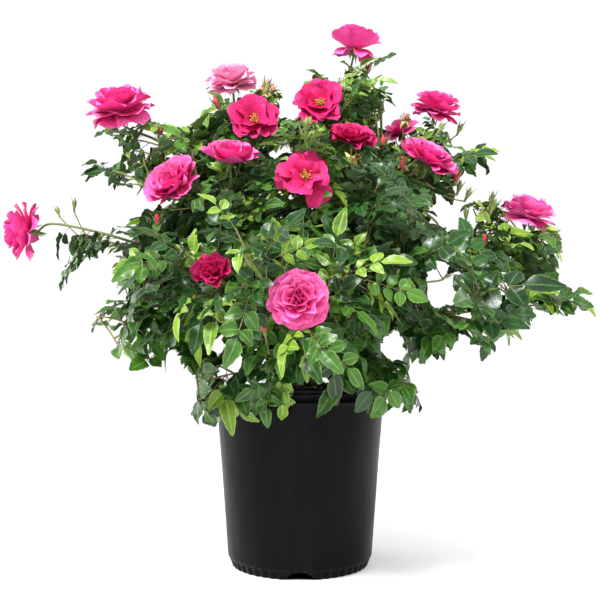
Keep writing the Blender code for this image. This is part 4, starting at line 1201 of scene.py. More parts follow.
class LeafTemplate:
    """A compound leaf along +X with its upper side to +Z, and a coarse outline of it."""

    def __init__(self, tone, pairs, chance):
        self.points = []
        self.faces = []
        self.finishes = []
        self.reaches = []
        self.outline = []
        self.outline_faces = []
        self.count = 0
        length = LEAFLET_LENGTH[tone]
        spacing = length * chance.uniform(*PAIR_SPACINGS)
        stalk = chance.uniform(*STALK_LENGTHS)
        end = stalk + spacing * (pairs - 1) + length * chance.uniform(*END_SPACINGS)
        self.add_stalk(end)
        for pair in range(pairs):
            for side in (1, -1):
                turn = side * math.radians(chance.uniform(*PAIR_TURNS))
                along_stalk = stalk + pair * spacing + chance.uniform(-PAIR_JITTER, PAIR_JITTER)
                foot = np.array((along_stalk, STALK_SIDE * side, STALK_TOP))
                size = chance.uniform(*PAIR_SIZES) * (FIRST_PAIR_SIZE if pair == 0 and pairs > 2 else 1.0)
                self.add_leaflet(tone, foot, turn, size, side, chance)
        turn = chance.uniform(-END_TURN, END_TURN)
        self.add_leaflet(tone, np.array((end, 0.0, STALK_TOP)), turn, END_SIZE, 0, chance)
        self.points = np.concatenate(self.points)
        self.faces = np.concatenate(self.faces)
        self.finishes = np.concatenate(self.finishes)
        self.reaches = np.concatenate(self.reaches)

    def add(self, points, faces, finishes, reaches):
        """Adds a shape, whose reach is the same all over or given for each point."""
        self.points.append(points)
        self.faces.append(np.asarray(faces) + self.count)
        self.finishes.append(np.asarray(finishes))
        self.reaches.append(np.broadcast_to(reaches, len(points)))
        self.count += len(points)

    def add_stalk(self, end):
        """The stalk, from the origin to where the last leaflet grows."""
        last = len(STALK_RADII) - 1
        stations = [Vector((end * step / last, 0.0, 0.0)) for step in range(last + 1)]
        points, faces = round_tube(stations, STALK_RADII, SHOOT_SIDES)
        self.add(np.array(points), faces, [2] * len(faces), 0.0)

    def add_leaflet(self, tone, foot, turn, size, side, chance):
        """A leaflet turned about its foot, tilted a little up or down."""
        length = LEAFLET_LENGTH[tone] * size
        width = LEAFLET_WIDTH[tone] * size * chance.uniform(*LEAFLET_WIDTHS)
        points, faces, finishes, reaches = leaflet(length, width, LEAFLET_FOLD[tone], chance)
        lift = Matrix.Rotation(chance.uniform(*LEAFLET_LIFTS), 3, "Y")
        twist = Matrix.Rotation(chance.uniform(-LEAFLET_TWIST, LEAFLET_TWIST) + LEAFLET_TILT * side, 3, "X")
        turn_matrix = np.array(Matrix.Rotation(turn, 3, "Z") @ lift @ twist)
        self.add(placed(points, foot, turn_matrix), faces, finishes, reaches)
        corners = np.array(COARSE_CORNERS) * (length, width)
        coarse = placed(np.column_stack((corners, np.zeros(len(corners)))), foot, turn_matrix)
        low = len(self.outline)
        self.outline += [Vector(point) for point in coarse]
        self.outline_faces += [(low, low + 1, low + 2), (low, low + 2, low + 3)]


def leaflet_width(share):
    """Half the width of a leaflet of width 1 at a share of its length."""
    return 0.5 * math.sin(math.pi * share ** LEAFLET_BELLY) ** LEAFLET_FULLNESS


def leaflet(length, width, fold, chance):
    """A toothed leaflet along +X: points, triangles, finishes, and how far each point is from the midrib."""
    droop = chance.uniform(*LEAFLET_DROOPS)
    wave = chance.uniform(*LEAFLET_WAVES)
    phase = chance.uniform(0.0, math.tau)
    flat = [(step / TEETH, 0.0, 0.0) for step in range(TEETH + 1)]
    rims = {}
    for side in (1, -1):
        rims[side] = [0]
        for step in range(TEETH):
            if step:
                rims[side].append(len(flat))
                width_here = side * leaflet_width(step / TEETH) * NOTCH_WIDTH_SHARE
                flat.append((step / TEETH + NOTCH_PLACE, width_here, 1.0))
            rims[side].append(len(flat))
            width_here = side * leaflet_width((step + TOOTH_READ) / TEETH) * TOOTH_WIDTH
            flat.append(((step + TOOTH_PLACE) / TEETH, width_here, 1.0))
        rims[side].append(TEETH)
    flat = np.array(flat)
    heights = (
        fold * np.abs(flat[:, 1]) * width - droop * length * flat[:, 0] ** 2 * 0.5
        + wave * width * np.sin(flat[:, 0] * WAVE_TURNS + phase) * flat[:, 2]
    )
    points = np.column_stack((flat[:, 0] * length, flat[:, 1] * width, heights))
    lower = points[1:TEETH] - (0.0, 0.0, UNDER)
    under = [0, *range(len(points), len(points) + TEETH - 1), TEETH]
    top, bottom = [], []
    for side, rim in rims.items():
        for step in range(TEETH):
            notch, tooth, next_notch = rim[2 * step : 2 * step + 3]
            vein, low, next_low = step, under[step], under[step + 1]
            upper_side = [(vein, vein + 1, tooth), (vein, tooth, notch), (vein + 1, next_notch, tooth)]
            lower_side = [(low, notch, tooth), (low, tooth, next_low), (next_low, tooth, next_notch)]
            for faces, half in ((top, upper_side), (bottom, lower_side)):
                faces += [face if side == 1 else face[::-1] for face in half if len(set(face)) == 3]
    reaches = np.concatenate((flat[:, 2], np.zeros(len(lower))))
    return np.concatenate((points, lower)), top + bottom, [0] * len(top) + [1] * len(bottom), reaches


def make_templates():
    """Leaves of each tone, of two and three pairs of leaflets, and small ones of one pair."""
    templates = {}
    for tone in TONES:
        templates[tone] = [
            LeafTemplate(tone, pairs, seeded("template", tone, pairs, order))
            for pairs in (2, 3) for order in range(TEMPLATES)
        ]
        templates[tone, "small"] = [
            LeafTemplate(tone, 1, seeded("template", tone, 1, order)) for order in range(TEMPLATES)
        ]
    return templates


def make_leaves(sprays):
    """The leaves of the whole crown, each tone apart."""
    heaps = {
        (part, tone): Heap(
            f"leaves_{part}_{tone}", (f"leaf_{tone}", f"leaf_{tone}_under", "leaf_stalk"), "foliage",
            LEAF_CREASE,
        )
        for part in ("left", "right", "back")
        for tone in TONES
    }
    for spray in sprays:
        part = "back" if spray.tip.y > BACK_FROM else "left" if spray.tip.x < 0.0 else "right"
        for tone, template, place, turn_matrix, size, droop, shade in spray.leaves:
            points = template.points * size
            points[:, 2] -= droop * points[:, 0] ** 2
            points = placed(points, np.array(place), np.array(turn_matrix))
            # Each leaf's shade carries its random tone and the painted shade of the crown's inside
            heaps[part, tone].add(points, template.faces, template.finishes, shade, template.reaches)
    masses = [f"{spray.name}_mass" for spray in sprays]
    for heap in heaps.values():
        heap.make(*masses)


# Flowers: whorls of (petals, length, width, tilt at the foot, tilt at the tip), and what shapes the petals

PETAL_ROWS = 7
PETAL_COLUMNS = 8
PETAL_THICKNESS = 0.0005
FORMS = {
    "double": (
        (6, 1.02, 1.14, 84, 78), (6, 0.98, 1.06, 72, 58), (6, 0.90, 0.96, 58, 36), (6, 0.78, 0.84, 44, 16),
        (5, 0.64, 0.72, 30, 2), (4, 0.50, 0.56, 14, -14), (3, 0.38, 0.44, 4, -24),
    ),
    "open": (
        (5, 1.12, 1.50, 80, 36), (5, 1.04, 1.40, 72, 24), (4, 0.78, 0.96, 60, 14),
    ),
    "limp": (
        (3, 1.26, 1.30, 84, 106), (3, 0.98, 1.16, 70, 82), (3, 0.70, 0.84, 54, 48),
    ),
    "skirted": (
        (4, 0.94, 1.05, 102, 124), (6, 1.20, 1.14, 76, 26), (6, 1.12, 1.04, 60, 18), (6, 1.02, 0.96, 44, 10),
        (5, 0.94, 0.84, 30, 6), (5, 0.90, 0.70, 16, 2), (3, 0.84, 0.50, 6, 0),
    ),
    "bowl": (
        (6, 1.18, 1.14, 78, 34), (6, 1.10, 1.06, 66, 24), (6, 1.00, 0.96, 52, 16), (6, 0.90, 0.86, 38, 8),
        (5, 0.84, 0.72, 22, 4), (4, 0.76, 0.56, 8, 0),
    ),
    "dish": (
        (6, 1.04, 1.10, 88, 46), (6, 0.96, 1.02, 76, 36), (6, 0.84, 0.92, 62, 26), (6, 0.72, 0.80, 46, 16),
        (5, 0.62, 0.66, 28, 8), (4, 0.52, 0.50, 12, 0),
    ),
    "pompom": (
        (5, 0.96, 1.20, 100, 112), (5, 1.08, 1.30, 88, 62), (5, 1.08, 1.22, 70, 38), (6, 1.04, 1.04, 52, 22),
        (6, 0.96, 0.90, 34, 12), (5, 0.86, 0.76, 18, 4), (3, 0.74, 0.54, 6, 0),
    ),
    "cup": (
        (4, 1.06, 1.26, 62, 30), (5, 1.00, 1.16, 44, 14), (5, 0.92, 1.00, 28, 2), (4, 0.82, 0.80, 14, -8),
        (3, 0.68, 0.60, 4, -10),
    ),
    "fan": (
        (5, 1.02, 1.00, 94, 88), (5, 1.06, 0.98, 78, 52), (5, 1.04, 0.92, 58, 34), (5, 1.00, 0.80, 38, 20),
        (4, 0.90, 0.64, 18, 8),
    ),
    "loose": (
        (5, 1.10, 0.80, 72, 84), (4, 0.96, 0.74, 52, 56), (3, 0.74, 0.56, 28, 28),
    ),
}
OPEN_FORMS = ("open", "limp")
FINE_STEPS = 24                   # along a petal, where its bend is worked out
PETAL_BEARING = 0.12              # how far a petal strays from its place, of the space between two
PETAL_LENGTHS = (0.92, 1.06)
PETAL_WIDTHS = (0.92, 1.12)
FOOT_STRAY = 7                    # degrees that a petal's tilt strays by, at its foot and its tip
TIP_STRAY = 12
WHORL_STRAY = 0.2
HEART_OUT = 0.10                  # how far out the outermost whorl grows, beside the flower's radius
WHORL_RISE = 0.012
STAMEN_LEAN = (4, 50)             # degrees from the flower's way
SPENT_LEAN = (4, 80)
STAMEN_LENGTHS = (0.18, 0.34)
STAMEN_INSET = 0.05
FILAMENT_RADII = (0.0004, 0.0003)
ANTHER_RINGS = ((0.0007, -0.0009), (0.0012, 0.0))
ANTHER_TOP = 0.0010
ANTHER_SIDES = 5
SPENT_SCALES = (1.7, 1.4)         # of its stamens and its calyx, beside its length
CALYX_RINGS = ((0.0022, -0.0110), (0.0040, -0.0085), (0.0046, -0.0050), (0.0038, -0.0018), (0.0050, 0.0004))
CALYX_TOP = 0.0012
CALYX_SIDES = 10
SEPAL_BEARING = 0.1
SEPAL_LENGTHS = (0.52, 0.70)
SEPAL_WIDTH = 0.0062
SEPAL_TILTS = (96, 138)           # degrees from the flower's way, and on a spent flower
SPENT_TILTS = (60, 120)
SEPAL_CURL = 0.9
SEPAL_PROFILE = ((0.0, 0.38), (0.25, 0.50), (0.55, 0.34), (0.80, 0.16), (1.0, 0.0))   # place and half width
SEPAL_RIDGE = 0.0005
BUD_WIDTHS = {"green": 0.19, "red": 0.23, "pink": 0.23}
BUD_PROFILE = (                   # beside its width and length
    (0.55, 0.0), (0.95, 0.20), (1.0, 0.42), (0.78, 0.66), (0.40, 0.86),
)
BUD_SCALLOP = 0.05
BUD_FACETS = 9
URN_SIDES = 8
BUD_SEPAL_LENGTHS = (1.0, 1.25)
BUD_SEPAL_TILT = math.radians(14)
BUD_SEPAL_CURL = 0.35
BUD_OPEN = {"green": (0.0, 0.5), "red": (0.3, 0.9), "pink": (0.3, 0.9)}
RECEPTACLE_DROP = 0.42            # below a flower's middle
STAMENS = 40
SPENT_STAMENS = 26
CALYX_DROP = 0.008                # from a flower's foot to the end of its stalk
BUD_LENGTH = 0.019
SEPALS = 5


def petal(length, width, foot_tilt, tip_tilt, chance):
    """A petal that grows from the origin: X out of the flower, Y across, Z along it. Closed and thin."""
    ruffle = chance.uniform(0.05, 0.12)
    waves = chance.uniform(2.4, 4.6)
    phase = chance.uniform(0.0, math.tau)
    notch = chance.uniform(0.02, 0.13)
    cup = chance.uniform(0.30, 0.55)
    roll = chance.uniform(0.15, 0.60)
    shares = np.linspace(0.0, 1.0, FINE_STEPS + 1)
    tilts = np.radians(foot_tilt + (tip_tilt - foot_tilt) * shares ** 1.6)
    out = np.concatenate(((0.0,), np.cumsum(np.sin(tilts[:-1])))) / FINE_STEPS
    up = np.concatenate(((0.0,), np.cumsum(np.cos(tilts[:-1])))) / FINE_STEPS
    rows, columns = PETAL_ROWS + 1, PETAL_COLUMNS + 1
    row, column = np.meshgrid(np.linspace(0.0, 1.0, rows), np.linspace(-1.0, 1.0, columns), indexing="ij")
    shorter = 0.17 * np.abs(column) ** 2.6 + notch * np.exp(-(column / 0.22) ** 2)
    share = row * (1.0 - shorter * row)
    half = width / 2 * (0.20 + 0.80 * np.sin(np.pi / 2 * np.minimum(share / 0.78, 1.0)))
    tilt = np.interp(share, shares, tilts)
    lift = (
        cup * column ** 2 * half * (1.0 - share) ** 0.6
        - roll * np.abs(column) ** 2.4 * share ** 3 * half
        + ruffle * width * share ** 2 * np.sin(column * waves + phase)
        + 0.4 * ruffle * width * share ** 3 * np.sin(column * waves * 2.3 + phase * 1.7)
    )
    x = np.interp(share, shares, out) * length - np.cos(tilt) * lift
    z = np.interp(share, shares, up) * length + np.sin(tilt) * lift
    upper = np.stack((x, column * half, z), axis=-1)
    thickness = np.stack((-np.cos(tilt), np.zeros_like(tilt), np.sin(tilt)), axis=-1) * PETAL_THICKNESS
    inner = (upper - thickness)[1:-1, 1:-1].reshape(-1, 3)
    points = np.concatenate((upper.reshape(-1, 3), inner))
    index = np.arange(rows * columns).reshape(rows, columns)
    lower_index = index.copy()
    lower_index[1:-1, 1:-1] = rows * columns + np.arange(len(inner)).reshape(rows - 2, columns - 2)
    upper_faces = petal_triangles(index)
    lower_faces = petal_triangles(lower_index)[:, ::-1]
    faces = np.concatenate((upper_faces, lower_faces))
    finishes = np.repeat((0, 1), (len(upper_faces), len(lower_faces)))
    reaches = np.concatenate((share.ravel(), share[1:-1, 1:-1].ravel()))
    return points, faces, finishes, reaches


def grid_triangles(index):
    """The triangles of a grid of points, given by their numbers."""
    near, far = index[:-1], index[1:]
    first = np.stack((near[:, :-1], far[:, :-1], far[:, 1:]), axis=-1).reshape(-1, 3)
    second = np.stack((near[:, :-1], far[:, 1:], near[:, 1:]), axis=-1).reshape(-1, 3)
    return np.concatenate((first, second))


def petal_triangles(index):
    """The triangles of a petal's grid, cut so that none has all its corners on the rim."""
    foot_left, foot_right = index[:-1, :-1], index[:-1, 1:]
    tip_left, tip_right = index[1:, :-1], index[1:, 1:]
    rows, columns = foot_left.shape
    crossed = (np.arange(rows)[:, None] * 2 >= rows) != (np.arange(columns)[None, :] * 2 >= columns)
    first = np.stack((foot_left, tip_left, np.where(crossed, foot_right, tip_right)), axis=-1)
    second = np.stack((np.where(crossed, tip_left, foot_left), tip_right, foot_right), axis=-1)
    return np.concatenate((first.reshape(-1, 3), second.reshape(-1, 3)))


class Garden:
    """The heaps that flowers, buds and what carries them go into."""

    def __init__(self):
        self.petals = {
            tone: Heap(f"petals_{tone}", (f"petal_{tone}", f"petal_{tone}_reverse"), "foliage")
            for tone in PETAL_COLOURS
        }
        self.stamens = Heap("stamens", ("filament", "anther"), "foliage")
        self.calyxes = Heap("calyxes", ("calyx", "bud_green", "straw"), "foliage")
        self.buds = Heap("buds", ("bud_red", "bud_pink"), "foliage")
        self.twigs = Heap("twigs", ("twig", "young_twig"), "foliage")

    def grow_bloom(self, form, tone, foot, way, radius, chance):
        """A flower: its whorls of petals, its stamens where they show, and its calyx."""
        foot, frame_matrix = np.array(foot), np.array(turn_to(any_side(way), way))
        heap = self.petals[tone]
        spin = chance.uniform(0.0, math.tau)
        for whorl, (count, length, width, foot_tilt, tip_tilt) in enumerate(FORMS[form]):
            for order in range(count):
                stray = chance.uniform(-PETAL_BEARING, PETAL_BEARING)
                points, faces, finishes, reaches = petal(
                    radius * length * chance.uniform(*PETAL_LENGTHS),
                    radius * width * chance.uniform(*PETAL_WIDTHS),
                    foot_tilt + chance.uniform(-FOOT_STRAY, FOOT_STRAY),
                    tip_tilt + chance.uniform(-TIP_STRAY, TIP_STRAY),
                    chance,
                )
                points[:, 0] += radius * HEART_OUT * (1.0 - whorl / len(FORMS[form]))
                points[:, 2] += radius * WHORL_RISE * whorl
                turn_matrix = np.array(Matrix.Rotation(spin + math.tau * (order + stray) / count, 3, "Z"))
                points = placed(points, foot, turn_matrix, frame_matrix)
                heap.add(points, faces, finishes, chance.random(), reaches)
            spin += math.pi / count + chance.uniform(-WHORL_STRAY, WHORL_STRAY)
        if form in OPEN_FORMS:
            self.grow_stamens(foot, frame_matrix, radius, STAMENS, STAMEN_LEAN, chance)
        self.grow_calyx(foot, frame_matrix, radius, 0, SEPAL_TILTS, chance)

    def grow_spent(self, foot, way, length, chance):
        """A flower that has lost its petals: straw-coloured stamens and spread sepals."""
        foot, frame_matrix = np.array(foot), np.array(turn_to(any_side(way), way))
        stamen_scale, calyx_scale = SPENT_SCALES
        self.grow_stamens(foot, frame_matrix, length * stamen_scale, SPENT_STAMENS, SPENT_LEAN, chance)
        self.grow_calyx(foot, frame_matrix, length * calyx_scale, 2, SPENT_TILTS, chance)

    def grow_stamens(self, foot, frame_matrix, radius, count, leans, chance):
        """Thin filaments with an anther each, round the middle of a flower."""
        for _ in range(count):
            bearing = chance.uniform(0.0, math.tau)
            lean = math.radians(chance.uniform(*leans))
            length = radius * chance.uniform(*STAMEN_LENGTHS)
            out, up = math.sin(lean), math.cos(lean)
            way = Vector((out * math.cos(bearing), out * math.sin(bearing), up))
            start = way * (radius * STAMEN_INSET)
            end = start + way * length
            points, faces = round_tube([start, end], FILAMENT_RADII, SHOOT_SIDES)
            self.stamens.add(placed(np.array(points), foot, frame_matrix), faces, 0, chance.random())
            points, faces = turned(ANTHER_RINGS, ANTHER_SIDES, ANTHER_TOP)
            points = np.array([end + point for point in points])
            self.stamens.add(placed(points, foot, frame_matrix), triangles(faces), 1, chance.random())

    def grow_calyx(self, foot, frame_matrix, radius, finish, tilts, chance):
        """The green urn under a flower and its sepals."""
        points, faces = turned(CALYX_RINGS, CALYX_SIDES, CALYX_TOP)
        self.calyxes.add(placed(np.array(points), foot, frame_matrix), triangles(faces), 0, 0.5)
        for order in range(SEPALS):
            bearing = sepal_bearing(order, chance)
            tilt = math.radians(chance.uniform(*tilts))
            points, faces = sepal(radius * chance.uniform(*SEPAL_LENGTHS), SEPAL_WIDTH, tilt, SEPAL_CURL)
            self.calyxes.add(placed(points, foot, bearing, frame_matrix), faces, finish, chance.random())

    def grow_bud(self, foot, way, length, kind, chance):
        """A bud: a pointed roll of petals held by sepals, on a small green urn."""
        foot, frame_matrix = np.array(foot), np.array(turn_to(any_side(way), way))
        wide = length * BUD_WIDTHS[kind]
        rings = [(wide * out, length * up) for out, up in BUD_PROFILE]
        points, faces = turned(rings, BUD_FACETS, length, BUD_SCALLOP)
        heap, finish = (self.calyxes, 1) if kind == "green" else (self.buds, int(kind == "pink"))
        heap.add(placed(np.array(points), foot, frame_matrix), triangles(faces), finish, chance.random())
        rings = (
            (0.0016, -length * 0.34), (wide * 0.52, -length * 0.22), (wide * 0.60, -length * 0.06),
            (wide * 0.62, 0.0005),
        )
        points, faces = turned(rings, URN_SIDES, length * 0.03)
        self.calyxes.add(placed(np.array(points), foot, frame_matrix), triangles(faces), 0, 0.5)
        opened = chance.uniform(*BUD_OPEN[kind])
        for order in range(SEPALS):
            bearing = sepal_bearing(order, chance)
            long = length * chance.uniform(*BUD_SEPAL_LENGTHS)
            points, faces = sepal(long, wide * 0.95, BUD_SEPAL_TILT, BUD_SEPAL_CURL * opened)
            points[:, 0] += wide * 0.52
            self.calyxes.add(placed(points, foot, bearing, frame_matrix), faces, 0, chance.random())

    def grow_twig(self, points, radii, finish, chance, step, sides):
        """A green shoot along some points, a little thicker and thinner along its length."""
        curve = smooth_points(points, step)
        shares = np.linspace(0.0, 1.0, len(curve))
        wide = np.interp(shares, np.linspace(0.0, 1.0, len(radii)), radii)
        wide = [radius * (1.0 + chance.uniform(*TWIG_UNEVEN)) for radius in wide]
        ring_points, faces = round_tube(curve, wide, sides)
        self.twigs.add(ring_points, faces, finish, chance.random(), np.repeat(shares, sides))

    def make(self, masses):
        """The pieces, which stand for the masses."""
        for heap in (*self.petals.values(), self.stamens, self.calyxes, self.buds, self.twigs):
            heap.make(*masses)


def sepal_bearing(order, chance):
    """The turn about Z that takes a sepal to its place round a flower."""
    bearing = math.tau * (order + chance.uniform(-SEPAL_BEARING, SEPAL_BEARING)) / SEPALS
    return np.array(Matrix.Rotation(bearing, 3, "Z"))


def sepal(length, width, tilt, curl):
    """A lance-shaped sepal from the origin, which leans out from Z by a tilt and curls further."""
    x, z, angle, last_share = 0.0, 0.0, tilt, 0.0
    points = []
    for share, half in SEPAL_PROFILE:
        if share:
            step = (share - last_share) * length
            angle += curl * (share - last_share)
            x += math.sin(angle) * step
            z += math.cos(angle) * step
        last_share = share
        if half:
            points += [(x, half * width, z), (x, -half * width, z)]
            points.append((x - math.cos(angle) * SEPAL_RIDGE, 0.0, z + math.sin(angle) * SEPAL_RIDGE))
        else:
            points.append((x, 0.0, z))
    faces = [(0, 1, 2)]
    for order in range(len(SEPAL_PROFILE) - 2):
        left, right, ridge, next_left, next_right, next_ridge = range(order * 3, order * 3 + 6)
        faces += [(left, next_left, right), (right, next_left, next_right)]
        faces += [(right, next_right, ridge), (ridge, next_right, next_ridge)]
        faces += [(ridge, next_ridge, left), (left, next_ridge, next_left)]
    left, right, ridge, tip = range(len(points) - 4, len(points))
    faces += [(left, tip, right), (right, tip, ridge), (ridge, tip, left)]
    return np.array(points), faces


def grow_flowers(garden, sprays):
    """Every bloom and bud of the plant."""
    for spray in sprays:
        chance = seeded(spray.name, "bloom")
        for form, tone, _, way, radius, foot in spray.blooms:
            garden.grow_bloom(form, tone, foot, way, radius, chance)
        for foot, way in spray.buds:
            garden.grow_bud(foot, way, BUD_LENGTH, "green", chance)
    by_name = {spray.name: spray for spray in sprays}
    for order, (name, foot, way, length, kind) in enumerate(BUDS):
        chance = seeded("bud", order)
        foot, way = Vector(foot), Vector(way).normalized()
        if kind == "spent":
            garden.grow_spent(foot, way, length, chance)
        else:
            garden.grow_bud(foot, way, length, kind, chance)
        grow_bud_stalk(garden, by_name[name], foot, way, length, chance)


def grow_bud_stalk(garden, spray, foot, way, length, chance):
    """The slim stalk of a bud, from its mass's shoots."""
    start, _, _ = spray.near_place(foot, STALK_LENGTH, STALK_DROP)
    end = foot - way * (length * STALK_END)
    control = start.lerp(end, STALK_BEND[0]) - way * (STALK_BEND[1] * (end - start).length)
    points = [arch_point(start, control, end, share) for share in (0.0, 0.33, 0.66, 1.0)]
    garden.grow_twig(points, BUD_STALK_RADII, 1, chance, BUD_STALK_STEP, BUD_STALK_SIDES)


# Canes with the bark's relief

WOOD_STEP = 0.0045
WOOD_SIDES = 12
KNEE_SPACING = 0.034
KNEE_WIDTH = 0.0028
KNEE_RISE = 0.16
FIRST_KNEE = (0.3, 1.0)           # beside the spacing
PRICKLE_SPACING = 0.016
FIRST_PRICKLE = (0.4, 1.0)        # beside the spacing
PRICKLE_GAPS = (0.6, 1.8)
PRICKLE_FOOT = 0.8                # how far out it starts, beside the cane's radius
PRICKLE_SIZES = (0.0030, 0.0048)
PRICKLE_PROFILE = (               # out, down and radius, beside its size
    (0.0, 0.0, 0.34), (0.5, 0.10, 0.18), (1.0, 0.45, 0.03),
)
PRICKLE_SIDES = 5
OLD_WOOD = 0.30                   # the height where the bark starts to turn from brown to green
GREENING = 0.25                   # the rise over which it does
RIDGE_SCALES = (2.2, 24.0, 0.09)  # round the cane, along it, and how high beside the radius
FINE_SCALES = (5.0, 110.0, 0.05)
CANE_LOOK_STEPS = 10
CANE_SINK = 0.006                 # how far a cane's foot reaches into the stem base
BASE_SIDES = 40
BASE_PROFILE = (                  # share of the base's radius, and height
    (0.86, -0.006), (0.97, 0.000), (1.00, 0.004), (0.96, 0.010),
    (0.93, 0.015), (0.84, 0.0195), (0.55, 0.0215), (0.2, 0.0205),
)
BASE_SHARE = 0.97                 # of its radius, before its lumps
BASE_LUMPS = ((0.07, 2.4), (0.03, 7.0))   # how high beside the radius, and how fine
LUMP_CHANGE = 60.0                # how fast the first lumps change with height


def grow_wood(heap, points, radii, age, chance):
    """A cane with ridged bark and a knee at each bud. The age is how brown its bark is, at foot and tip."""
    curve = smooth_points(points, WOOD_STEP)
    ring_points, faces = round_tube(curve, [1.0] * len(curve), WOOD_SIDES)
    shares = np.linspace(0.0, 1.0, len(curve))
    wide = np.interp(shares, np.linspace(0.0, 1.0, len(radii)), radii)
    offset = chance.uniform(0.0, 100.0)
    first_knee = chance.uniform(*FIRST_KNEE) * KNEE_SPACING
    ridge_round, ridge_along, ridge_height = RIDGE_SCALES
    fine_round, fine_along, fine_height = FINE_SCALES
    shaped = []
    for index, centre in enumerate(curve):
        distance = index * WOOD_STEP
        knee = (distance - first_knee + KNEE_SPACING / 2) % KNEE_SPACING - KNEE_SPACING / 2
        swell = 1.0 + KNEE_RISE * math.exp(-(knee / KNEE_WIDTH) ** 2)
        for corner in range(WOOD_SIDES):
            way = ring_points[index * WOOD_SIDES + corner] - centre
            place = distance * ridge_along + offset + way.z * ridge_round
            ridge = noise.noise(Vector((way.x * ridge_round, way.y * ridge_round, place)))
            place = distance * fine_along + offset
            fine = noise.noise(Vector((way.x * fine_round, way.y * fine_round, place)))
            shaped.append(centre + way * (wide[index] * (swell + ridge_height * ridge + fine_height * fine)))
    reach = np.interp(shares, (0.0, 1.0), age)
    heap.add(shaped, faces, 0, chance.random(), np.repeat(reach, WOOD_SIDES))
    distance = chance.uniform(*FIRST_PRICKLE) * PRICKLE_SPACING
    length = run_length(curve)
    while distance < length - PRICKLE_SPACING:
        centre, axis = along(curve, distance)
        radius = float(np.interp(distance / length, shares, wide))
        side = Matrix.Rotation(chance.uniform(0.0, math.tau), 3, axis) @ any_side(axis)
        grow_prickle(heap, centre + side * (radius * PRICKLE_FOOT), side, axis, chance)
        distance += PRICKLE_SPACING * chance.uniform(*PRICKLE_GAPS)


def grow_prickle(heap, place, side, axis, chance):
    """A hooked prickle that points out and a little down."""
    size = chance.uniform(*PRICKLE_SIZES)
    points = [place + side * (size * out) - axis * (size * down) for out, down, _ in PRICKLE_PROFILE]
    radii = [size * wide for _, _, wide in PRICKLE_PROFILE]
    prickle_points, faces = round_tube(points, radii, PRICKLE_SIDES)
    heap.add(prickle_points, faces, 1, chance.random())


def make_canes(sprays):
    """The stem base and every cane, in one piece."""
    heap = Heap("canes", ("bark", "prickle"), "cane")
    for spray in sprays:
        chance = seeded(spray.name, "bark")
        start, control, split = spray.arch
        shares = [split * step / CANE_LOOK_STEPS for step in range(CANE_LOOK_STEPS + 1)]
        points = [arch_point(start, control, spray.tip, share) for share in shares]
        if spray.cane_radius == CANE_RADIUS:
            points[0] = points[0] - UP * CANE_SINK
        ends = (points[0], points[-1])
        age = [1.0 - min(1.0, max(0.0, (point.z - OLD_WOOD) / GREENING)) for point in ends]
        grow_wood(heap, points, (spray.cane_radius, CANE_TIP_RADIUS), age, chance)
    grow_stem_base(heap)
    heap.make("stem_base", *(f"{spray.name}_cane" for spray in sprays))


def grow_stem_base(heap):
    """The knobbly woody base that the canes rise from."""
    foot = MIX_TOP[1]
    (big, coarse), (small, fine) = BASE_LUMPS
    points = []
    for share, height in BASE_PROFILE:
        for corner in range(BASE_SIDES):
            angle = math.tau * corner / BASE_SIDES
            way = Vector((math.cos(angle), math.sin(angle), 0.0))
            lump = big * noise.noise(way * coarse + UP * (height * LUMP_CHANGE))
            lump += small * noise.noise(way * fine)
            radius = BASE_RADIUS * share * (BASE_SHARE + lump)
            points.append((way.x * radius, way.y * radius, foot + height))
    points += [(0.0, 0.0, foot + BASE_PROFILE[-1][1]), (0.0, 0.0, foot + BASE_PROFILE[0][1])]
    rows = len(BASE_PROFILE)
    faces = turned_over(grid_triangles(round_grid(rows, BASE_SIDES)).tolist())
    faces += fan((rows - 1) * BASE_SIDES, BASE_SIDES, len(points) - 2)
    faces += turned_over(fan(0, BASE_SIDES, len(points) - 1))
    heap.add(points, faces, 0, 0.5, 1.0)


def make_twigs(garden, sprays):
    """The green stems, side shoots and finer twigs, each as far as something grows on it."""
    for spray in sprays:
        for shoot in reversed(spray.shoots):
            if shoot.parent and shoot.used:
                carrier, place = shoot.parent
                carrier.used = max(carrier.used, place)
        for order, shoot in enumerate(spray.shoots):
            chance = seeded(spray.name, "twig", order)
            if shoot.used:
                share = min(1.0, (shoot.used + TWIG_END) / shoot.length)
                points = shoot.points
                if share < 1.0:
                    points = [along(points, shoot.length * share * step / 4)[0] for step in range(5)]
                radii = STEM_LOOK_RADII if order == 0 else shoot.radii
                young = int(shoot.radii is FINE_RADII)
                garden.grow_twig(points, radii, young, chance, TWIG_STEP, TWIG_SIDES)


# The pot and the growing mix

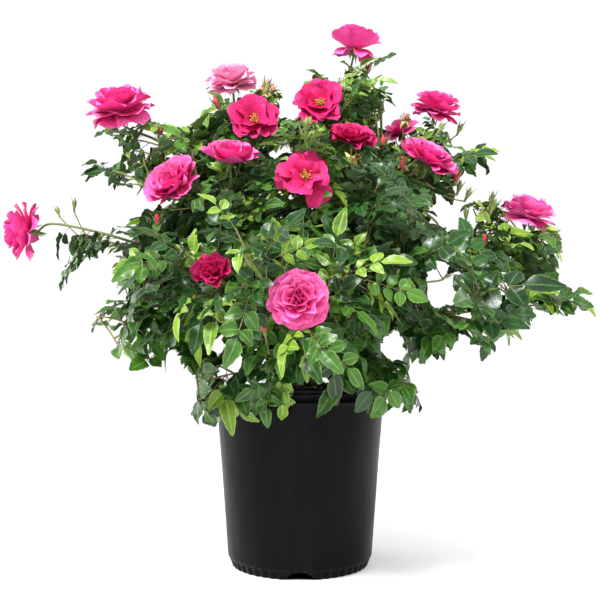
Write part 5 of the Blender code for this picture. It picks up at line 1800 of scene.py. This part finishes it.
POT_RIBS = 48
POT_SIDES = POT_RIBS * 6
RIB_DEPTH = 0.0021
POT_PROFILE = (                   # radius, height, and how deep the ribs are there
    (0.0900, 0.0000, 0.0), (0.0972, 0.0000, 0.6), (0.0990, 0.0006, 1.0), (0.0998, 0.0020, 1.0),
    (0.1008, 0.0050, 1.0), (0.1020, 0.0085, 1.0), (0.1031, 0.0112, 0.9), (0.1038, 0.0128, 0.5),
    (0.1044, 0.0138, 0.15), (0.1047, 0.0145, 0.0), (0.1050, 0.0165, 0.0), (0.1085, 0.0600, 0.0),
    (0.1128, 0.1100, 0.0), (0.1170, 0.1600, 0.0), (0.1211, 0.2080, 0.0), (0.1231, 0.2325, 0.0),
    (0.1234, 0.2345, 0.0), (0.1239, 0.2352, 0.0), (0.1250, 0.2361, 0.0), (0.1255, 0.2372, 0.0),
    (0.1255, 0.2387, 0.0), (0.1250, 0.2397, 0.0), (0.1240, 0.2405, 0.0), (0.1237, 0.2415, 0.0),
    (0.1237, 0.2472, 0.0), (0.1240, 0.2481, 0.0), (0.1245, 0.2488, 0.0), (0.1245, 0.2495, 0.0),
    (0.1240, 0.2502, 0.0), (0.1237, 0.2510, 0.0), (0.1237, 0.2524, 0.0), (0.1242, 0.2532, 0.0),
    (0.1249, 0.2540, 0.0), (0.1252, 0.2551, 0.0), (0.1248, 0.2563, 0.0), (0.1238, 0.2569, 0.0),
    (0.1225, 0.2570, 0.0), (0.1215, 0.2566, 0.0), (0.1210, 0.2556, 0.0), (0.1204, 0.2455, 0.0),
    (0.1115, 0.1300, 0.0), (0.1024, 0.0170, 0.0), (0.1010, 0.0140, 0.0),
)
NOTCH_SIDES = 32
GROOVE_SHARPNESS = 1.5
POT_CREASE = math.radians(42)


def bands(rows, sides):
    """The four-cornered faces between rings of points, each ring after the one below it."""
    faces = []
    for low in range(0, (rows - 1) * sides, sides):
        for corner in range(sides):
            following = (corner + 1) % sides
            faces.append((low + corner, low + following, low + sides + following, low + sides + corner))
    return faces


def plain_object(name, points, faces):
    """An object of some points and faces, in the scene."""
    mesh = bpy.data.meshes.new(name)
    mesh.from_pydata(points, [], faces)
    made = bpy.data.objects.new(name, mesh)
    bpy.context.scene.collection.objects.link(made)
    return made


def make_pot():
    """The nursery pot: ribbed foot, drain notches, tapering wall, and a rim with a bead and a lip."""
    points = []
    for radius, height, depth in POT_PROFILE:
        for corner in range(POT_SIDES):
            angle = math.tau * corner / POT_SIDES
            groove = (0.5 - 0.5 * math.cos(POT_RIBS * angle)) ** GROOVE_SHARPNESS
            here = radius - RIB_DEPTH * depth * groove
            points.append((here * math.cos(angle), here * math.sin(angle), height))
    last = (len(POT_PROFILE) - 1) * POT_SIDES
    points += [(0.0, 0.0, 0.0), (0.0, 0.0, POT_PROFILE[-1][1])]
    faces = bands(len(POT_PROFILE), POT_SIDES)
    faces += turned_over(fan(0, POT_SIDES, len(points) - 2))
    faces += fan(last, POT_SIDES, len(points) - 1)
    whole = plain_object("nursery_pot_uncut", points, faces)
    cutters = [make_notch_cutter(math.tau * notch / NOTCHES) for notch in range(NOTCHES)]
    for cutter in cutters:
        cut = whole.modifiers.new(cutter.name, "BOOLEAN")
        cut.operation = "DIFFERENCE"
        cut.solver = "EXACT"
        cut.object = cutter
    finished = bpy.data.meshes.new_from_object(whole.evaluated_get(bpy.context.evaluated_depsgraph_get()))
    for thing in (whole, *cutters):
        bpy.data.objects.remove(thing)
    finished.name = "nursery_pot"
    finished.materials.clear()
    finished.materials.append(bpy.data.materials["pot_black"])
    finished.polygons.foreach_set("material_index", [0] * len(finished.polygons))
    finished.shade_smooth()
    finished.set_sharp_from_angle(angle=POT_CREASE)
    place_piece("nursery_pot", finished, ("pot",))


def make_notch_cutter(bearing):
    """A half round bar that cuts a drain notch in under the foot."""
    points = []
    for x in (-NOTCH_DEPTH, NOTCH_DEPTH):
        for corner in range(NOTCH_SIDES):
            angle = math.tau * corner / NOTCH_SIDES
            points.append((x, math.cos(angle) * NOTCH_WIDTH / 2, math.sin(angle) * NOTCH_HEIGHT))
    faces = [tuple(reversed(range(NOTCH_SIDES))), tuple(range(NOTCH_SIDES, 2 * NOTCH_SIDES))]
    cutter = plain_object("notch_cutter", points, faces + bands(2, NOTCH_SIDES))
    out = Matrix.Translation((WALL_FOOT_RADIUS, 0.0, 0.0))
    cutter.data.transform(Matrix.Rotation(bearing, 4, "Z") @ out)
    return cutter


def wall_radius(height):
    """The pot's inside radius at a height."""
    share = (height - FLOOR_HEIGHT) / (POT_HEIGHT - FLOOR_HEIGHT)
    return FLOOR_RADIUS + (MOUTH_RADIUS - FLOOR_RADIUS) * share


MIX_SIDES = 96
MIX_RINGS = 26
MIX_RING_BEND = 0.8               # below 1, the rings are closer together towards the wall
MIX_GAP = 0.0006                  # to the wall
MIX_SINK = 0.0012                 # how much lower it lies than the solid, to leave room for its roughness
CHIPS = 1100
MIX_ROUGHNESS = ((0.0016, 70.0, 0.0), (0.0010, 240.0, 0.3))   # how high, how fine, and the noise's layer
PALE_SHARE = 0.16                 # of the chips, which are crumbs of grit
GRIT_SIZES = ((0.0025, 0.0050), (0.7, 1.0), (0.6, 0.9))    # length, width beside it, thickness beside that
BARK_SIZES = ((0.004, 0.013), (0.25, 0.55), (0.25, 0.5))
CHIP_CORNERS = ((-0.5, -0.4), (0.1, -0.5), (0.5, -0.15), (0.42, 0.4), (-0.2, 0.5))
CHIP_TILTS = (0.45, 0.6)          # radians about Y and X
CHIP_JITTER = 0.1
CHIP_LIFT = 0.25                  # of its thickness, above the mix


def mix_height(x, y):
    """The height of the growing mix, which mounds up to the stem base and is rough."""
    radius = math.hypot(x, y)
    height = np.interp(
        radius, (MIX_TOP[0], MIX_SHOULDER[0], wall_radius(MIX_EDGE_HEIGHT)),
        (MIX_TOP[1], MIX_SHOULDER[1], MIX_EDGE_HEIGHT),
    )
    rough = sum(high * noise.noise(Vector((x, y, layer)) * fine) for high, fine, layer in MIX_ROUGHNESS)
    return float(height) - MIX_SINK + rough


def make_growing_mix():
    """The growing mix, and the chips of bark and grit that lie on it."""
    heap = Heap("growing_mix_rough", ("mix_dark", "chip_brown", "chip_tan", "chip_pale"), "growing_mix")
    foot = FLOOR_HEIGHT + GAP
    edge = wall_radius(MIX_EDGE_HEIGHT) - MIX_GAP
    radii = [edge * (step / MIX_RINGS) ** MIX_RING_BEND for step in range(1, MIX_RINGS + 1)]
    radii.append(wall_radius(foot) - MIX_GAP)
    points = []
    for ring, radius in enumerate(radii):
        for corner in range(MIX_SIDES):
            angle = math.tau * corner / MIX_SIDES
            x, y = radius * math.cos(angle), radius * math.sin(angle)
            points.append((x, y, mix_height(x, y) if ring < MIX_RINGS else foot))
    points += [(0.0, 0.0, mix_height(0.0, 0.0)), (0.0, 0.0, foot)]
    faces = grid_triangles(round_grid(len(radii), MIX_SIDES)).tolist()
    faces += fan(0, MIX_SIDES, len(points) - 2)
    faces += turned_over(fan(MIX_RINGS * MIX_SIDES, MIX_SIDES, len(points) - 1))
    heap.add(points, faces, 0, 0.5)
    chance = seeded("chips")
    for _ in range(CHIPS):
        add_chip(heap, chance, edge)
    heap.make("growing_mix")


def add_chip(heap, chance, edge):
    """One chip of bark or a crumb of grit, lying at a slant on the mix."""
    pale = chance.random() < PALE_SHARE
    lengths, widths, thicknesses = GRIT_SIZES if pale else BARK_SIZES
    length = chance.uniform(*lengths)
    wide = length * chance.uniform(*widths)
    thick = wide * chance.uniform(*thicknesses)
    reach = max(edge - length, 0.0)
    radius = BASE_RADIUS + (reach - BASE_RADIUS) * math.sqrt(chance.random())
    angle = chance.uniform(0.0, math.tau)
    x, y = radius * math.cos(angle), radius * math.sin(angle)
    turn = (
        Matrix.Rotation(chance.uniform(0.0, math.tau), 3, "Z")
        @ Matrix.Rotation(chance.uniform(-CHIP_TILTS[0], CHIP_TILTS[0]), 3, "Y")
        @ Matrix.Rotation(chance.uniform(-CHIP_TILTS[1], CHIP_TILTS[1]), 3, "X")
    )
    corners = []
    for z in (-0.5, 0.5):
        for across, out in CHIP_CORNERS:
            jitter = Vector(chance.uniform(-CHIP_JITTER, CHIP_JITTER) for _ in range(3))
            corner = Vector((across, out, z)) + jitter
            corners.append(turn @ Vector((corner.x * length, corner.y * wide, corner.z * thick)))
    lift = mix_height(x, y) + thick * CHIP_LIFT
    points = [corner + Vector((x, y, lift)) for corner in corners]
    sides = len(CHIP_CORNERS)
    faces = [tuple(reversed(range(sides))), tuple(range(sides, 2 * sides)), *bands(2, sides)]
    finish = 3 if pale else chance.choice((1, 1, 2))
    heap.add(points, triangles(faces), finish, chance.random())


# Materials

class Finish:
    """A procedural material in the making, with short ways to add its nodes."""

    def __init__(self, name, roughness, specular=0.5):
        self.made = bpy.data.materials.new(name)
        self.made.use_nodes = True
        self.tree = self.made.node_tree
        self.shader = self.tree.nodes["Principled BSDF"]
        self.shader.inputs["Roughness"].default_value = roughness
        self.shader.inputs["Specular IOR Level"].default_value = specular
        self.place = self.node("ShaderNodeTexCoord").outputs["Object"]

    def node(self, kind, **settings):
        """A new node with some settings."""
        made = self.tree.nodes.new(kind)
        for key, value in settings.items():
            setattr(made, key, value)
        return made

    def feed(self, socket, value):
        """Links a socket to another, or sets it."""
        if isinstance(value, bpy.types.NodeSocket):
            self.tree.links.new(value, socket)
        else:
            socket.default_value = value

    def noise(self, scale, detail=3.0, stretch=None, roughness=0.5):
        """A noise in the object's own space, which may be stretched."""
        place = self.place
        if stretch:
            mapping = self.node("ShaderNodeMapping")
            mapping.inputs["Scale"].default_value = stretch
            self.feed(mapping.inputs["Vector"], place)
            place = mapping.outputs["Vector"]
        made = self.node("ShaderNodeTexNoise")
        self.feed(made.inputs["Vector"], place)
        made.inputs["Scale"].default_value = scale
        made.inputs["Detail"].default_value = detail
        made.inputs["Roughness"].default_value = roughness
        return made.outputs["Fac"]

    def attribute(self, name):
        """What the mesh says at each point: its shade or its reach."""
        return self.node("ShaderNodeAttribute", attribute_name=name).outputs["Fac"]

    def ramp(self, value, *stops):
        """A colour by a value: stops of (place, colour)."""
        made = self.node("ShaderNodeValToRGB")
        self.feed(made.inputs["Fac"], value)
        elements = made.color_ramp.elements
        for stop, (place, colour) in enumerate(stops):
            element = elements[stop] if stop < 2 else elements.new(place)
            element.position = place
            element.color = (*colour, 1.0)
        return made.outputs["Color"]

    def mix(self, factor, first, second):
        """A blend of two colours by a factor."""
        made = self.node("ShaderNodeMix", data_type="RGBA", blend_type="MIX")
        self.feed(made.inputs[0], factor)
        for socket, value in ((made.inputs[6], first), (made.inputs[7], second)):
            self.feed(socket, value if isinstance(value, bpy.types.NodeSocket) else (*value, 1.0))
        return made.outputs[2]

    def span(self, value, low, high, new_low, new_high):
        """A value carried from one range to another."""
        made = self.node("ShaderNodeMapRange")
        for socket, number in zip(made.inputs, (value, low, high, new_low, new_high)):
            self.feed(socket, number)
        return made.outputs["Result"]

    def colour(self, value):
        """Sets the surface's colour."""
        self.feed(self.shader.inputs["Base Color"], value)

    def roughness(self, value):
        """Sets how rough the surface is."""
        self.feed(self.shader.inputs["Roughness"], value)

    def bump(self, height, strength, distance):
        """Gives the surface a relief."""
        made = self.node("ShaderNodeBump")
        made.inputs["Strength"].default_value = strength
        made.inputs["Distance"].default_value = distance
        self.feed(made.inputs["Height"], height)
        self.feed(self.shader.inputs["Normal"], made.outputs["Normal"])


LEAF_COLOURS = {                  # darkest, lightest (a leaf's shade attribute runs between them, darker deep in the crown as painted shade), vein, rim (a paler edge, partly a painted highlight), roughness
    "dark": (
        (0.002, 0.013, 0.002), (0.013, 0.062, 0.007),
        (0.055, 0.130, 0.034), (0.070, 0.150, 0.040), 0.30,
    ),
    "mid": (
        (0.006, 0.036, 0.003), (0.048, 0.145, 0.010),
        (0.110, 0.220, 0.045), (0.150, 0.250, 0.060), 0.33,
    ),
    "young": (
        (0.028, 0.090, 0.005), (0.180, 0.305, 0.020),
        (0.290, 0.410, 0.080), (0.350, 0.430, 0.120), 0.34,
    ),
}
UNDER_COLOURS = {
    "dark": ((0.026, 0.060, 0.024), (0.048, 0.090, 0.036)),
    "mid": ((0.050, 0.105, 0.036), (0.085, 0.155, 0.055)),
    "young": ((0.095, 0.175, 0.030), (0.160, 0.250, 0.050)),
}
PETAL_COLOURS = {                 # foot, heart (a deep crimson near the foot, partly painted shade in the flower's crevices), blade, rim (a paler edge, partly a painted highlight), and the reverse
    "deep": (
        (0.62, 0.28, 0.12), (0.300, 0.002, 0.026), (0.480, 0.005, 0.076),
        (0.660, 0.032, 0.190), (0.500, 0.022, 0.125),
    ),
    "bright": (
        (0.75, 0.42, 0.30), (0.470, 0.003, 0.070), (0.680, 0.020, 0.200),
        (0.920, 0.190, 0.500), (0.680, 0.065, 0.290),
    ),
    "lilac": (
        (0.80, 0.50, 0.42), (0.530, 0.008, 0.115), (0.760, 0.070, 0.330),
        (0.920, 0.280, 0.600), (0.760, 0.160, 0.440),
    ),
    "pale": (
        (0.85, 0.65, 0.55), (0.640, 0.060, 0.200), (0.820, 0.220, 0.420),
        (0.930, 0.470, 0.680), (0.840, 0.380, 0.570),
    ),
}


def make_leaf_materials():
    """The upper and lower side of each tone of leaf, and the leaf stalk."""
    for tone, (dark, light, vein, rim, roughness) in LEAF_COLOURS.items():
        made = Finish(f"leaf_{tone}", roughness, 0.34)
        # The shade attribute gives each leaf a random tone, darkened deep in the crown as painted shade
        blade = made.ramp(made.attribute("shade"), (0.0, dark), (1.0, light))
        patchy = made.mix(made.span(made.noise(70.0), 0.35, 0.70, 0.0, 0.55), blade, light)
        reach = made.attribute("reach")
        # A lighter rim: partly a paler leaf edge, partly a painted highlight
        edge_paled_and_highlit = made.mix(made.span(reach, 0.78, 1.0, 0.0, 0.75), patchy, rim)
        made.colour(made.mix(made.span(reach, 0.0, 0.14, 0.85, 0.0), edge_paled_and_highlit, vein))
        made.roughness(made.span(made.noise(300.0, 4.0), 0.3, 0.7, roughness - 0.07, roughness + 0.14))
        made.bump(made.noise(420.0, 3.0), 0.35, 0.0006)
        made = Finish(f"leaf_{tone}_under", 0.62, 0.20)
        low, high = UNDER_COLOURS[tone]
        blade = made.ramp(made.attribute("shade"), (0.0, low), (1.0, high))
        made.colour(made.mix(made.span(made.noise(120.0), 0.3, 0.7, 0.0, 0.5), blade, high))
        made.bump(made.noise(500.0, 3.0), 0.35, 0.0006)
    made = Finish("leaf_stalk", 0.5)
    made.colour(made.ramp(made.noise(90.0), (0.30, (0.110, 0.170, 0.030)), (0.70, (0.190, 0.125, 0.040))))
    made.bump(made.noise(700.0), 0.3, 0.0004)


def make_petal_materials():
    """The two sides of each tone of petal."""
    for tone, (foot, crimson_and_painted_shade, blade, rim, reverse) in PETAL_COLOURS.items():
        made = Finish(f"petal_{tone}", 0.55, 0.14)
        reach = made.attribute("reach")
        # Along the petal: a pale foot, a deep crimson heart that is partly painted shade in the flower's
        # crevices, the blade, and a lighter rim that is partly a painted highlight
        lengthways_tone_and_light = made.ramp(reach, (0.02, foot), (0.16, crimson_and_painted_shade), (0.55, blade), (1.0, rim))
        paler = made.mix(made.span(made.attribute("shade"), 0.0, 1.0, 0.0, 0.30), lengthways_tone_and_light, rim)
        made.colour(made.mix(made.span(made.noise(230.0, 4.0), 0.42, 0.68, 0.0, 0.50), paler, crimson_and_painted_shade))
        made.bump(made.noise(900.0, 3.0), 0.25, 0.0004)
        made = Finish(f"petal_{tone}_reverse", 0.60, 0.12)
        made.colour(made.mix(made.span(made.noise(140.0, 4.0), 0.35, 0.75, 0.0, 0.6), reverse, blade))
        made.bump(made.noise(900.0, 3.0), 0.25, 0.0004)


def speckled(name, low, high, scale, roughness, specular=0.4, bump=0.4, depth=0.0006, detail=4.0):
    """A plain material that varies between two colours."""
    made = Finish(name, roughness, specular)
    blended = made.ramp(made.noise(scale, detail), (0.32, low), (0.70, high))
    made.colour(made.mix(made.span(made.attribute("shade"), 0.0, 1.0, 0.0, 0.35), blended, high))
    made.roughness(made.span(made.noise(scale * 2.3, detail), 0.3, 0.7, roughness - 0.06, roughness + 0.08))
    made.bump(made.noise(scale * 4.0, detail), bump, depth)


SPECKLED = (                      # two colours, the scale of their speckles, roughness, and relief
    ("filament", (0.50, 0.11, 0.05), (0.64, 0.24, 0.07), 300.0, 0.5),
    ("anther", (0.22, 0.07, 0.012), (0.48, 0.22, 0.03), 500.0, 0.7),
    ("calyx", (0.060, 0.120, 0.022), (0.160, 0.210, 0.050), 150.0, 0.5),
    ("bud_green", (0.100, 0.160, 0.035), (0.240, 0.280, 0.080), 160.0, 0.5),
    ("straw", (0.300, 0.300, 0.090), (0.560, 0.520, 0.220), 160.0, 0.6),
    ("bud_red", (0.360, 0.010, 0.030), (0.600, 0.030, 0.070), 200.0, 0.45),
    ("bud_pink", (0.620, 0.060, 0.100), (0.800, 0.240, 0.220), 200.0, 0.5),
    ("twig", (0.050, 0.095, 0.018), (0.140, 0.180, 0.040), 120.0, 0.5),
    ("young_twig", (0.110, 0.155, 0.030), (0.210, 0.140, 0.045), 90.0, 0.5),
    ("prickle", (0.160, 0.060, 0.025), (0.300, 0.140, 0.060), 300.0, 0.45),
    ("mix_dark", (0.012, 0.008, 0.005), (0.050, 0.032, 0.020), 260.0, 0.95, 0.2, 0.9, 0.002, 6.0),
    ("chip_brown", (0.030, 0.016, 0.009), (0.090, 0.050, 0.028), 180.0, 0.9, 0.2, 0.7, 0.001, 5.0),
    ("chip_tan", (0.170, 0.110, 0.065), (0.330, 0.230, 0.150), 200.0, 0.9, 0.2, 0.7, 0.001, 5.0),
    ("chip_pale", (0.500, 0.460, 0.390), (0.700, 0.670, 0.600), 260.0, 0.95, 0.2, 0.7, 0.001, 5.0),
)


def make_other_materials():
    """Stalks, flower parts, bark, soil, pot and floor."""
    for row in SPECKLED:
        speckled(*row)
    bark = Finish("bark", 0.68, 0.35)
    brown = bark.ramp(bark.noise(130.0, 5.0), (0.30, (0.050, 0.034, 0.018)), (0.68, (0.150, 0.110, 0.062)))
    green = bark.ramp(bark.noise(90.0, 4.0), (0.30, (0.040, 0.070, 0.016)), (0.70, (0.120, 0.150, 0.040)))
    bark.colour(bark.mix(bark.attribute("reach"), green, brown))
    bark.bump(bark.noise(420.0, 5.0), 0.6, 0.0010)
    pot = Finish("pot_black", 0.36, 0.06)
    dusty = pot.span(pot.noise(38.0, 6.0, (1.0, 1.0, 0.12)), 0.50, 0.85, 0.0, 0.7)
    pot.colour(pot.mix(dusty, (0.0020, 0.0021, 0.0025), (0.0075, 0.0075, 0.0080)))
    pot.roughness(pot.span(pot.noise(45.0, 5.0, (1.0, 1.0, 0.25)), 0.3, 0.7, 0.30, 0.46))
    pot.bump(pot.noise(700.0, 2.0), 0.06, 0.0004)
    floor = Finish("floor", 0.75, 0.1)
    patches = floor.noise(3.0, 2.0)
    floor.colour(floor.ramp(patches, (0.3, (0.950, 0.950, 0.950)), (0.7, (0.965, 0.965, 0.965))))


# Floor, light and camera

FLOOR_HALF = 14.0
WORLD_STRENGTH = 1.05
LIGHTS = (                        # place, the height that it faces on the middle line, size and power
    ("key", (-0.9, -1.5, 2.3), 0.45, 0.7, 118.0),
    ("fill", (1.9, -1.2, 1.4), 0.40, 1.0, 18.0),
    ("left_edge", (-1.6, 0.7, 0.7), 0.25, 0.9, 9.0),
    ("right_edge", (1.6, 0.7, 0.7), 0.25, 0.9, 9.0),
)


def make_stage():
    """A pale floor, soft light and the camera."""
    corners = [(FLOOR_HALF * x, FLOOR_HALF * y, 0.0) for x, y in ((-1, -1), (1, -1), (1, 1), (-1, 1))]
    floor = plain_object("floor", corners, [(0, 1, 2, 3)])
    floor.data.materials.append(bpy.data.materials["floor"])
    world = bpy.data.worlds.new("studio")
    world.use_nodes = True
    background = world.node_tree.nodes["Background"]
    background.inputs["Color"].default_value = (1.0, 1.0, 1.0, 1.0)
    background.inputs["Strength"].default_value = WORLD_STRENGTH
    bpy.context.scene.world = world
    for row in LIGHTS:
        add_light(*row)
    camera = bpy.data.objects.new("camera", bpy.data.cameras.new("camera"))
    camera.data.lens = CAMERA_LENS
    camera.data.sensor_width = SENSOR
    camera.location = CAMERA_PLACE
    camera.rotation_euler = (math.pi / 2 + CAMERA_PITCH, 0.0, 0.0)
    bpy.context.scene.collection.objects.link(camera)
    bpy.context.scene.camera = camera
    bpy.context.scene.view_settings.view_transform = "Standard"


def add_light(name, place, height, size, power):
    """A square soft light that faces the middle line at a height."""
    light = bpy.data.lights.new(name, "AREA")
    light.size = size
    light.energy = power
    made = bpy.data.objects.new(name, light)
    made.location = place
    made.rotation_euler = (Vector((0.0, 0.0, height)) - Vector(place)).to_track_quat("-Z", "Y").to_euler()
    bpy.context.scene.collection.objects.link(made)


def main():
    """Materials, stage, pot and mix, and then the plant."""
    make_leaf_materials()
    make_petal_materials()
    make_other_materials()
    make_stage()
    make_pot()
    make_growing_mix()
    sprays = grow_sprays(make_templates())
    garden = Garden()
    grow_flowers(garden, sprays)
    make_twigs(garden, sprays)
    garden.make([f"{spray.name}_mass" for spray in sprays])
    make_canes(sprays)
    make_leaves(sprays)


main()
bpy.context.view_layer.update()
